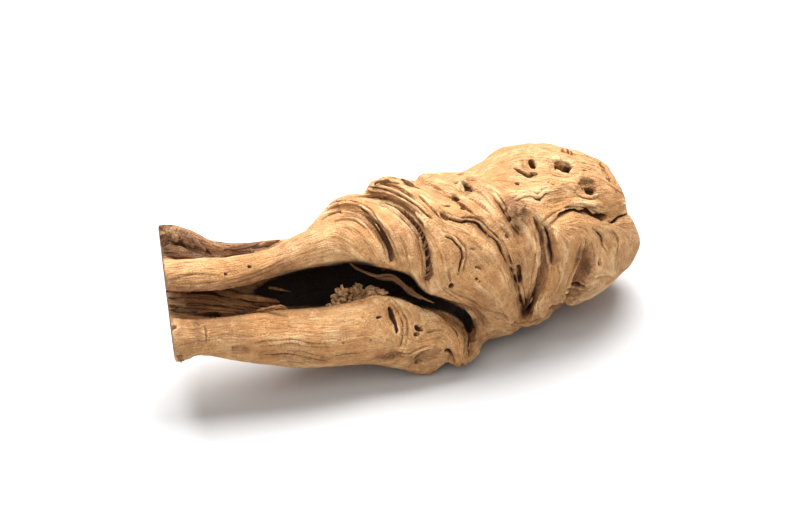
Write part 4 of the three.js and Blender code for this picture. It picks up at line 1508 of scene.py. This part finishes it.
class GRAPEWOOD_OT_carve_wood(bpy.types.Operator):
    """Carve folds, cracks, pits and fibres into the log"""

    bl_idname = "grapewood.carve_wood"
    bl_label = "Carve Wood"

    def execute(self, context):
        settings = context.scene.grapewood_wood
        face = front()
        base = face.grid
        carver = Carver(base)
        traces = {name: face.trace(mark.path) for name, mark in (FOLDS | CRACKS).items()}
        guide = guides(traces)

        def flow_of(points, outward):
            return fibres(points, outward, guide)

        self.cut_marks(carver, face, traces, flow_of, settings)
        grid = carver.grid
        self.saw_and_ground(grid)
        piece = mesh_of(grid, CARVED)
        self.raise_strands(piece, grid, base, flow_of, settings)
        thinned(piece, settings.triangles)
        self.write_values(piece, grid, base, flow_of)
        tones = settings.light_wood, settings.warm_wood, settings.brown_wood
        finish_piece(piece, wood_material("weathered wood", settings, tones, sawn=True))
        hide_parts(NODE.name)
        return {"FINISHED"}

    def cut_marks(self, carver, face, traces, flow_of, settings):
        """Cuts the seeded cracks and pits all round, and the drawn marks of the front."""
        draw = np.random.default_rng(MARK_SEED)
        drawn_marks = np.vstack(list(traces.values()))
        self.cut_small_cracks(carver, drawn_marks, flow_of, settings.cracks, draw)
        for k, (name, mark) in enumerate(FOLDS.items()):
            carver.fold(traces[name], mark, seed=k)
        for k, (name, mark) in enumerate(CRACKS.items()):
            carver.crack(traces[name], mark, seed=k)
        self.cut_creases(carver, traces)
        for k, mark in enumerate(PITS.values()):
            angle = math.radians(mark.turn)
            turn_to = RIGHT * math.cos(angle) + UP * math.sin(angle)
            carver.pit(face.trace([mark.at])[0], turn_to, mark, seed=k)
        self.cut_small_pits(carver, drawn_marks, flow_of, settings.pits, draw)

    def cut_small_cracks(self, carver, drawn_marks, flow_of, count, draw):
        """Cuts seeded cracks clear of the drawn marks, finer where the drawing sees them."""
        for k, path in enumerate(scattered_paths(carver.base, count, flow_of, draw)):
            mark = Crack([], *[draw.uniform(*sizes) for sizes in SMALL_CRACK], SMALL_SPREAD)
            middle = path[len(path) // 2]
            if carver.base.outward(middle[None], SIDE_REACH)[0] @ BACK < FACING:
                mark.width = min(mark.width, FINE_WIDTH)
                mark.depth = min(mark.depth, FINE_DEPTH)
            if np.linalg.norm(drawn_marks - middle, axis=1).min() > CLEAR_CRACK:
                carver.crack(path, mark, seed=k)

    def cut_creases(self, carver, traces):
        """Cuts the fine creases that run beside the folds and the long cracks."""
        mark = Crack([], CREASE_WIDTH, CREASE_DEPTH, lip=CREASE_LIP, spread=CREASE_SPREAD)
        for k, (name, offset) in enumerate(self.beside_marks(traces)):
            path = traces[name]
            side = unit(np.cross(carver.base.outward(path, SIDE_REACH), tangents(path)))
            crease = carver.base.settle(path + side * offset, SURFACE_REACH)
            carver.crack(crease, mark, seed=CREASE_SEED + k)

    def cut_small_pits(self, carver, drawn_marks, flow_of, count, draw):
        """Cuts seeded beetle holes and pits, drawn out along the fibres, clear of the drawn marks."""
        base = carver.base
        points = vertex_places(NODE.data)
        for k in range(count):
            centre = base.settle(points[draw.integers(0, len(points))][None], SURFACE_REACH)
            size = draw.uniform(*PIT_SIZES)
            mark = Pit((), size * draw.uniform(*PIT_LENGTHS), size, size * draw.uniform(*PIT_DEPTHS))
            if np.linalg.norm(drawn_marks - centre, axis=1).min() > CLEAR_PIT:
                way = flow_of(centre, base.outward(centre, SIDE_REACH))[0]
                carver.pit(centre[0], way, mark, seed=k)

    def beside_marks(self, traces):
        """The fine creases that run beside each long mark, as its name and how far to its left."""
        creases = [(name, offset) for name in FOLDS for offset in FOLD_CREASES]
        for name in CRACKS:
            steps = np.diff(traces[name], axis=0)
            if np.linalg.norm(steps, axis=1).sum() > CREASED_FROM and name not in CROSS_MARKS:
                creases += [(name, offset) for offset in CRACK_CREASES]
        return creases

    def saw_and_ground(self, grid):
        """Cuts the flat of the saw and the flats of the feet afresh."""
        at, out = sawn_plane()
        x, y, z = (grid.corner[k] + grid.step * np.arange(grid.values.shape[k]) for k in range(3))
        sawn = (x[:, None, None] - at[0]) * out[0] + (y[None, :, None] - at[1]) * out[1]
        sawn = sawn + ((z - at[2]) * out[2])[None, None]
        grid.values = np.maximum(grid.values, sawn.astype(np.float32))
        grid.values = np.maximum(grid.values, -z[None, None].astype(np.float32))

    def raise_strands(self, piece, grid, base, flow_of, settings):
        """Moves the mesh in and out along the fibres, but not on the sawn end or the feet."""
        at, out = sawn_plane()
        points = vertex_places(piece.data)
        flow = flow_of(points, base.outward(points, FLOW_REACH))
        height = sum(
            share * combed(points, flow, size, length, lattice(seed))
            for share, size, length, seed in STRAND_LAYERS
        )
        height += layered(points, LUMP_LAYERS)
        from_saw = -((points - at) @ out)
        calm = smooth_step(*CALM_AT_SAW, from_saw) * smooth_step(*CALM_AT_FEET, points[:, 2])
        height *= calm * settings.strand_height / MM
        points = points + grid.outward(points, RELIEF_REACH) * height[:, None]
        piece.data.vertices.foreach_set("co", (points * MM).astype(np.float32).ravel())
        piece.data.update()

    def write_values(self, piece, grid, base, flow_of):
        """Writes how deep and how shaded each vertex is, as painted shade in crevices, valleys and the
        hollow, how worn, barky and stained it is, partly painted shade too, and the way its fibres run.
        """
        mesh = piece.data
        points = vertex_places(mesh)
        inside = np.clip(0.5 - grid.values / (2 * grid.step), 0, 1)
        coarse = inside[::2, ::2, ::2]

        def wood_within(reach, shares, step):
            cells = max(1, round(reach / grid.step))
            return Grid(blurred(shares, cells), grid.corner, step).at(points)

        close = wood_within(CLOSE_REACH, inside, grid.step)
        around = wood_within(AROUND_REACH, coarse, 2 * grid.step)
        wide = wood_within(WIDE_REACH, coarse, 2 * grid.step)
        deep = -base.at(points)
        # Painted shade: narrow, deep cracks are darkened where shade falls in them.
        crevice_shade = smooth_step(*CREVICE_SHARE, close) * smooth_step(*CREVICE_DEPTH, deep)
        crevice_shade = np.maximum(crevice_shade, DEEP_STRENGTH * smooth_step(*DEEP_DEPTH, deep))
        crevice_shade *= CREVICE_LEAST + layered(points, CREVICE_LAYERS)
        # Painted shade: wood with much wood around it, as in valleys and folds, is darkened as if in
        # shade.
        shade = smooth_step(*SHADE_SHARE, around)
        put_values(mesh, "crevice_shade", crevice_shade)
        put_values(mesh, "shade", shade)
        # Painted shade, tinted brown: a wide band round the valleys is darkened.
        put_values(mesh, "shade_halo", smooth_step(*SHADE_HALO_SHARE, wide))
        put_values(mesh, "crest", smooth_step(*CREST_SHARE, close) * (1 - shade))
        # Bark, and painted shade in bark colours in the cave, the cleft and the wall.
        put_values(mesh, "bark", spread_of(BARK_AND_SHADE, points))
        # Stains, and painted shade in valleys and under the stems.
        put_values(mesh, "stain_and_shade", spread_of(STAINS_AND_SHADE, points))
        # Painted shade inside the hollow.
        put_values(mesh, "hollow_shade", hollow_shade_of(points))
        put_values(mesh, "fibre", flow_of(points, base.outward(points, SURFACE_REACH)))


# The heap lies from HEAP_FROM to HEAP_TO across the drawing, on a rim that is looked for from RIM_FROM
# to RIM_TO down it. Other sizes are in millimetres, and pairs are a least and a most.

RIM_FROM = 284
RIM_TO = 325
RIM_STRIDE = 0.5
RIM_STEP = 12.0
HEAP_SEED = 8
HEAP_FROM = 328
HEAP_TO = 384
HEAP_INSET = 4
HEAP_PEAK = 364
HIGH_SIDE = 11.0
LOW_SIDE = 5.0
HEAP_DEPTHS = (0, 6)
HEAP_LOWEST = 0.5
CRUMBS = 110
CRUMB_SIZES = (0.9, 2.1)
CRUMB_PITCH = 0.75
ROW = 22
ROW_RISE = 0.4
ROW_DEPTHS = (1.5, 4)
ROW_SIZES = (1.1, 1.7)

LUMPS = 0.72
LUMP_PLACES = (0, 50)
LUMP_SIZE = 0.5
LUMP_HEIGHT = 0.6
LUMP_SEED = 41
LUMP_STRETCH = (0.55, 1.35)
LUMP_TONES = (0, 0.35)
CURL_POINTS = 12
CURL_TURNS = (3, 6)
CURL_RADIUS = 1.05
CURL_RISE = 0.6
CURL_WIDTHS = (0.7, 1.3)
CURL_TAPER = 0.9
CURL_THICKNESS = 0.3


class GRAPEWOOD_OT_pith_crumbs(bpy.types.Operator):
    """Heap dry crumbs of pith on the rim of the hollow"""

    bl_idname = "grapewood.pith_crumbs"
    bl_label = "Pith Crumbs"

    def execute(self, context):
        settings = context.scene.grapewood_wood
        draw = np.random.default_rng(HEAP_SEED)
        heap = Heap()
        placed = []
        for across in np.linspace(HEAP_FROM, HEAP_TO, ROW):
            place = self.rim(across) + UP * ROW_RISE + BACK * draw.uniform(*ROW_DEPTHS)
            placed.append((place, draw.uniform(*ROW_SIZES)))
        while len(placed) < CRUMBS:
            across = draw.uniform(HEAP_FROM + HEAP_INSET, HEAP_TO)
            height = HIGH_SIDE if across < HEAP_PEAK else LOW_SIDE
            rise = UP * draw.uniform(HEAP_LOWEST, height)
            target = self.rim(across) + rise + BACK * draw.uniform(*HEAP_DEPTHS)
            near, size = min(placed, key=lambda held: np.linalg.norm(held[0] - target))
            radius = draw.uniform(*CRUMB_SIZES)
            placed.append((near + unit(target - near) * CRUMB_PITCH * (size + radius), radius))
        for centre, radius in placed:
            shape = self.lump if draw.random() < LUMPS else self.curl
            shape(heap, centre, radius, draw)
        tones = settings.pith, settings.light_wood, settings.brown_wood
        heap.piece("pith_crumbs", wood_material("dry pith", settings, tones))
        return {"FINISHED"}

    def rim(self, across):
        """The place where the lower stem ends against the dark of the hollow."""
        wall = front().depth(across, RIM_FROM)
        for down in np.arange(RIM_FROM, RIM_TO, RIM_STRIDE):
            if front().depth(across, down) < wall - RIM_STEP:
                return front().hit(across, down + RIM_STRIDE)
        raise RuntimeError("The hollow has no rim here.")

    def lump(self, heap, centre, radius, draw):
        """A lumpy crumb."""
        points, faces = ball()
        lumps = wander(points + draw.uniform(*LUMP_PLACES, 3), LUMP_SIZE, lattice(LUMP_SEED))
        shape = points * (1 + LUMP_HEIGHT * lumps)[:, None] * draw.uniform(*LUMP_STRETCH, 3)
        tones = np.full(len(points), draw.uniform(*LUMP_TONES))
        heap.add(centre + shape * radius, faces, np.roll(points, 1, axis=1), tones)

    def curl(self, heap, centre, radius, draw):
        """A strip curled through half a turn to a whole one."""
        turn = draw.uniform(0, 2 * math.pi) + np.linspace(0, draw.uniform(*CURL_TURNS), CURL_POINTS)
        first = unit(draw.normal(0, 1, 3))
        second = unit(np.cross(first, draw.normal(0, 1, 3)))
        axis = np.cross(first, second)
        spin = np.cos(turn)[:, None] * first + np.sin(turn)[:, None] * second
        rise = np.linspace(-CURL_RISE, CURL_RISE, CURL_POINTS)[:, None]
        centres = centre + spin * radius * CURL_RADIUS + axis * rise * radius
        taper = 1 - np.linspace(-CURL_TAPER, CURL_TAPER, CURL_POINTS) ** 2
        widths = draw.uniform(*CURL_WIDTHS) * taper + LEAST_WIDTH
        heap.strip(centres, spin, widths, np.full(CURL_POINTS, CURL_THICKNESS), 0.0)


SHREDS = [
    Strand((240, 302), [
        (210, 289, 1), (226, 293.5, 5), (240, 296, 8), (256, 298.5, 8), (270, 300.5, 6), (280, 302, 2),
    ], 2.1, 0.7, (20, -10), 0.05),
    Strand((215, 303), [
        (166, 296, 1), (190, 297, 2.5), (215, 299, 3), (240, 303, 3), (262, 308, 1),
    ], 2.0, 0.8, (0, 25), 0.25, 0.5),
    Strand((205, 303), [
        (167, 301, 1), (195, 300.5, 3), (222, 304, 3.5), (248, 309, 1),
    ], 1.5, 0.7, (10, -20), 0.15, 0.6),
    Strand((205, 305), [
        (168, 306, 1), (200, 307, 3), (228, 309.5, 3), (248, 312, 1),
    ], 1.1, 0.6, (0, 30), 0.3, 0.6),
    Strand((190, 300), [
        (166, 292, 1), (172, 294.5, 3), (184, 295.5, 3), (198, 297, 1),
    ], 1.3, 0.5, (0, 20), 0.0, 0.6),
    Strand((205, 312), [
        (196, 313, 1), (208, 311, 3), (222, 311.5, 3), (236, 313, 1),
    ], 0.8, 0.5, (0, 30), 0.2, 0.6),
    Strand((276, 290), [
        (258, 289, -1), (268, 287.5, 2), (279, 289, 2.5), (291, 292, -0.5),
    ], 0.7, 0.4, (0, 60), 0.25, 0.6),
    Strand((270, 313), [
        (256, 311, -1), (266, 308.5, 0.5), (276, 306.5, 1), (286, 308.5, 0),
    ], 0.8, 0.35, (0, 80), 0.0, 0.6),
    Strand((272, 313), [
        (262, 312, -1), (272, 309.5, 1), (281, 306, 1.5), (288, 309, 0),
    ], 0.7, 0.35, (40, -60), 0.0, 0.6),
    Strand((370, 285), [
        (344, 259, 40), (351, 264, 41), (358, 269, 42), (375, 275.5, 42), (388, 274.5, 42),
        (396, 277, 42), (405, 285, 42), (414, 292, 43), (424, 298.5, 45), (434, 303, 47),
    ], 0.8, 0.55, (30, 60), 0.7, 0.7),
    Strand((370, 285), [
        (374, 276, 38), (384, 278, 38), (394, 279, 39), (402, 285, 40), (411, 292, 41), (422, 299, 43),
    ], 2.0, 0.6, (-20, -30), 0.75, 0.5),
    Strand((345, 283), [
        (322, 309, 30), (330, 307, 34), (338, 304.5, 36), (348, 302, 37),
    ], 0.8, 0.4, (0, 60), 0.0, 0.6),
]

FLAKES = [
    Strand((174, 238), [
        (171, 229, 0.5), (174, 233, 2), (176, 238, 3), (177, 242, 3),
    ], 2.2, 0.45, (0, 30), 0.0, 0.6),
    Strand((184, 240), [
        (179, 230, 0.5), (184, 236, 2.2), (189, 242, 2.6), (194, 248, 1.6),
    ], 2.1, 0.45, (0, -20), 0.1, 0.6),
    Strand((192, 243), [
        (185, 234, 0.5), (192, 239, 2), (199, 245, 2.2), (206, 251, 1),
    ], 1.5, 0.4, (10, 30), 0.05, 0.6),
    Strand((178, 250), [
        (162, 249, 0), (168, 247, 3), (178, 248, 4), (190, 252, 3), (202, 257, 1),
    ], 1.2, 0.4, (0, 30), 0.35, 0.6),
    Strand((178, 252), [
        (162, 252, 0), (172, 250.5, 4), (186, 252.5, 4.5), (200, 257, 2),
    ], 1.1, 0.4, (20, -10), 0.2, 0.6),
    Strand((185, 254), [
        (163, 256, 1), (174, 254.5, 4.5), (190, 256, 5), (212, 258.5, 2),
    ], 1.2, 0.4, (0, 20), 0.3, 0.6),
    Strand((200, 256), [
        (166, 258.5, 3), (190, 258, 5.5), (214, 259.5, 6), (238, 258, 3),
    ], 1.1, 0.45, (0, 20), 0.1, 0.5),
    Strand((240, 247), [
        (212, 247, 0.3), (228, 248, 1.6), (244, 246.5, 1.8), (260, 242.5, 0.4),
    ], 1.7, 0.5, (0, 20), 0.1, 0.6),
    Strand((256, 246), [
        (238, 250, 0.4), (252, 248, 1.8), (266, 244.5, 1.8), (280, 240, 0.4),
    ], 1.4, 0.5, (0, -20), 0.0, 0.6),
]

SPLINTERS = [
    Strand((420, 190), [
        (421, 188, -1.2), (413, 182.5, 0.6), (407, 178, 1.4), (403, 175.5, 1.6), (401.5, 176.5, 1.4),
    ], 1.2, 1.0, (20, -30), 1.0, 0.5),
    Strand((420, 190), [
        (424, 191, -1.2), (415, 186, 0.4), (408, 181.5, 0.9), (404, 180.5, 0.6),
    ], 0.9, 0.8, (0, 40), 1.0, 0.5),
    Strand((392, 184), [
        (404, 187, -0.8), (395, 182, 0.6), (386, 179, 0.9), (378, 180, 0.6), (375, 183, -0.6),
    ], 1.5, 0.7, (0, 60), 0.8, 0.6),
    Strand((566, 153), [
        (565, 150, -1), (563.5, 146, 0), (564.5, 143, 0.3),
    ], 1.0, 0.5, (0, 90), 0.1, 0.6),
    Strand((568, 153), [
        (569, 150, -1), (569.5, 146, 0), (568, 143.5, 0.3),
    ], 0.9, 0.5, (0, 90), 0.15, 0.6),
    Strand((570, 154), [
        (573, 151, -1), (573.5, 148, 0), (572, 145.5, 0.3),
    ], 0.7, 0.4, (0, 90), 0.1, 0.6),
    Strand((603, 170), [
        (604.5, 167, -1), (603.5, 161, 0), (604.5, 157.5, 0.3),
    ], 1.1, 0.5, (0, 90), 0.1, 0.6),
    Strand((604, 171), [
        (607.5, 168, -1), (607.5, 163.5, 0), (606, 161, 0.3),
    ], 0.8, 0.45, (0, 90), 0.1, 0.6),
    Strand((610, 182), [
        (611, 178, -1), (613.5, 174, 0), (615.5, 172.5, 0.2),
    ], 0.7, 0.4, (0, 90), 0.1, 0.6),
    Strand((614, 192), [
        (617, 190, -1), (620.5, 187.5, 0), (622, 187, 0.2),
    ], 0.6, 0.4, (0, 90), 0.2, 0.6),
    Strand((616, 204), [
        (621, 204, -1), (624.5, 202.5, 0), (626, 203, 0.2),
    ], 0.6, 0.4, (0, 90), 0.2, 0.6),
    Strand((183, 350), [
        (179, 357, -1), (180.5, 361, 0.3), (182.5, 363.5, 0.6), (185, 364.5, 0.8),
    ], 1.0, 0.7, (0, 60), 0.9, 0.6),
    Strand((183, 350), [
        (178, 357, -1), (179, 361, 0.3), (180.5, 364.5, 0.6), (182, 366.5, 0.8),
    ], 0.8, 0.5, (0, 60), 0.9, 0.6),
    Strand((556, 300), [
        (547, 305, -1), (551, 306.5, 0.6), (556, 306, 0.8), (561, 303, 0),
    ], 1.3, 0.9, (0, 40), 0.85, 0.5),
    Strand((520, 310), [
        (505, 317, -1), (516, 318.5, 0.6), (528, 317, 0.8), (538, 312, 0),
    ], 1.3, 0.9, (0, 40), 0.6, 0.5),
]


class GRAPEWOOD_OT_stem_shreds(bpy.types.Operator):
    """Lay torn shreds between the stems and through the hollow"""

    bl_idname = "grapewood.stem_shreds"
    bl_label = "Stem Shreds"

    def execute(self, context):
        settings = context.scene.grapewood_wood
        tones = settings.warm_wood, settings.brown_wood, settings.red_wood
        lay_strands("stem_shreds", SHREDS, wood_material("torn wood", settings, tones), seed=3)
        return {"FINISHED"}


class GRAPEWOOD_OT_bark_flakes(bpy.types.Operator):
    """Lay torn flakes along the bark ridge"""

    bl_idname = "grapewood.bark_flakes"
    bl_label = "Bark Flakes"

    def execute(self, context):
        settings = context.scene.grapewood_wood
        tones = settings.warm_wood, settings.bark_pale, settings.bark
        lay_strands("bark_flakes", FLAKES, wood_material("torn bark", settings, tones), seed=4)
        return {"FINISHED"}


class GRAPEWOOD_OT_splinters(bpy.types.Operator):
    """Curl splinters and frills off the outline"""

    bl_idname = "grapewood.splinters"
    bl_label = "Splinters"

    def execute(self, context):
        settings = context.scene.grapewood_wood
        tones = settings.light_wood, settings.warm_wood, settings.brown_wood
        lay_strands("splinters", SPLINTERS, wood_material("splintered wood", settings, tones), seed=6,
                    rooted=True)
        return {"FINISHED"}


# Each rung crosses the groove. Its start and end are shares of the groove's width, and its slant is in
# pixels of the drawing. Its heights are how many millimetres it stands in front of the wood at its
# anchor, at its start, middle and end.

RUNGS = 20
RUNG_SEED = 12
RUNG_FROM = 0.36
RUNG_TO = 0.95
RUNG_SCATTER = 0.012
RUNG_STARTS = (-0.15, 0.25)
RUNG_ENDS = (0.6, 1.05)
RUNG_SLANTS = (2, 8)
RUNG_HEIGHTS = (-2.4, -2.8, -1.2)
RUNG_WIDTHS = (0.2, 0.45)
RUNG_THICKNESS = 0.3
RUNG_TURN = (0, 30)
RUNG_TONES = (0.3, 0.9)
RUNG_RAGGED = 0.5
BEHIND_GROOVE = 2


class GRAPEWOOD_OT_groove_fibres(bpy.types.Operator):
    """Stretch short fibres across the open groove of the trunk"""

    bl_idname = "grapewood.groove_fibres"
    bl_label = "Groove Fibres"

    def execute(self, context):
        settings = context.scene.grapewood_wood
        edge = spline(FOLDS["sash"].path, 1.0)
        width = FOLDS["sash"].width
        draw = np.random.default_rng(RUNG_SEED)
        rungs = []
        for part in np.linspace(RUNG_FROM, RUNG_TO, RUNGS) + draw.normal(0, RUNG_SCATTER, RUNGS):
            across, down = edge[int(np.clip(part, 0, 1) * (len(edge) - 1))]
            wide = (width[0] + (width[1] - width[0]) * part) / UNIT
            start = draw.uniform(*RUNG_STARTS)
            end = draw.uniform(*RUNG_ENDS)
            slant = draw.uniform(*RUNG_SLANTS)
            first, middle, last = RUNG_HEIGHTS
            path = [
                (across + wide * start, down + slant, first),
                (across + wide * 0.5, down + slant / 3, middle),
                (across + wide * end, down - slant / 2, last),
            ]
            rungs.append(Strand(
                (across + wide + BEHIND_GROOVE, down), path, draw.uniform(*RUNG_WIDTHS),
                RUNG_THICKNESS, RUNG_TURN, draw.uniform(*RUNG_TONES), RUNG_RAGGED,
            ))
        tones = settings.brown_wood, settings.brown_wood, settings.red_wood
        lay_strands("groove_fibres", rungs, wood_material("groove fibres", settings, tones), seed=7)
        return {"FINISHED"}


KEY_PLACE = Vector((0.22, 0.5, 1.3))
FILL_PLACE = Vector((-0.75, -1.1, 1.3))


class GRAPEWOOD_OT_stage(bpy.types.Operator):
    """Lay the floor, hang the lights and stand the camera"""

    bl_idname = "grapewood.stage"
    bl_label = "Studio"

    def execute(self, context):
        scene = context.scene
        settings = scene.grapewood_studio
        self.lay_floor(settings)
        self.light(scene, settings)
        self.stand_camera(scene)
        scene.view_settings.view_transform = "Standard"
        return {"FINISHED"}

    def lay_floor(self, settings):
        """A plain pale floor."""
        half = settings.floor_side / 2 / MM
        corners = [(-half, -half, 0), (half, -half, 0), (half, half, 0), (-half, half, 0)]
        floor = new_object("studio_floor", corners, [(0, 1, 2, 3)], smooth=False)
        material = bpy.data.materials.new("studio floor")
        material.use_nodes = True
        skin = material.node_tree.nodes["Principled BSDF"]
        skin.inputs["Base Color"].default_value = tuple(settings.floor)
        skin.inputs["Roughness"].default_value = 0.9
        skin.inputs["Specular IOR Level"].default_value = 0.1
        floor.data.materials.append(material)

    def light(self, scene, settings):
        """An even room, a soft light above and behind, and a wide one in front."""
        world = bpy.data.worlds.new("studio room")
        world.use_nodes = True
        room = world.node_tree.nodes["Background"]
        room.inputs["Color"].default_value = (1, 1, 1, 1)
        room.inputs["Strength"].default_value = settings.world_strength
        scene.world = world
        for name, place, power, side in (
            ("overhead", KEY_PLACE, settings.key_power, settings.key_side),
            ("front", FILL_PLACE, settings.fill_power, settings.fill_side),
        ):
            lamp = bpy.data.lights.new(name, "AREA")
            lamp.energy = power
            lamp.size = side
            holder = bpy.data.objects.new(name, lamp)
            holder.location = place
            towards = Vector(AIM * MM) - holder.location
            holder.rotation_euler = towards.to_track_quat("-Z", "Y").to_euler()
            scene.collection.objects.link(holder)

    def stand_camera(self, scene):
        """The camera that sees the front drawing."""
        lens = bpy.data.cameras.new("camera")
        lens.sensor_width = SENSOR
        lens.lens = SENSOR * DISTANCE / (PICTURE_WIDTH * UNIT)
        camera = bpy.data.objects.new("camera", lens)
        camera.location = Vector(EYE * MM)
        camera.rotation_euler = Vector(BACK).to_track_quat("-Z", "Y").to_euler()
        scene.collection.objects.link(camera)
        scene.camera = camera


class GRAPEWOOD_PT_panel(bpy.types.Panel):
    """The steps that dress the log"""

    bl_idname = "GRAPEWOOD_PT_panel"
    bl_label = "Grapewood Log"
    bl_space_type = "VIEW_3D"
    bl_region_type = "UI"
    bl_category = "Grapewood"

    def draw(self, context):
        for step in STEPS:
            self.layout.operator(step.bl_idname)
        for name in ("grapewood_wood", "grapewood_studio"):
            held = getattr(context.scene, name)
            box = self.layout.box()
            for prop in held.bl_rna.properties:
                if not prop.is_readonly and prop.identifier != "name":
                    box.prop(held, prop.identifier)


STEPS = (
    GRAPEWOOD_OT_carve_wood,
    GRAPEWOOD_OT_pith_crumbs,
    GRAPEWOOD_OT_stem_shreds,
    GRAPEWOOD_OT_bark_flakes,
    GRAPEWOOD_OT_splinters,
    GRAPEWOOD_OT_groove_fibres,
    GRAPEWOOD_OT_stage,
)
CLASSES = (WoodSettings, StudioSettings, *STEPS, GRAPEWOOD_PT_panel)


def register():
    """Registers the classes and hangs the settings on the scene."""
    for kind in CLASSES:
        bpy.utils.register_class(kind)
    bpy.types.Scene.grapewood_wood = bpy.props.PointerProperty(type=WoodSettings)
    bpy.types.Scene.grapewood_studio = bpy.props.PointerProperty(type=StudioSettings)


def unregister():
    """Takes the settings and the classes away again."""
    del bpy.types.Scene.grapewood_studio
    del bpy.types.Scene.grapewood_wood
    for kind in reversed(CLASSES):
        bpy.utils.unregister_class(kind)


def main():
    """Dresses the log and lights it."""
    register()
    bpy.ops.grapewood.carve_wood()
    bpy.ops.grapewood.pith_crumbs()
    bpy.ops.grapewood.stem_shreds()
    bpy.ops.grapewood.bark_flakes()
    bpy.ops.grapewood.splinters()
    bpy.ops.grapewood.groove_fibres()
    bpy.ops.grapewood.stage()


if __name__ == "__main__":
    main()
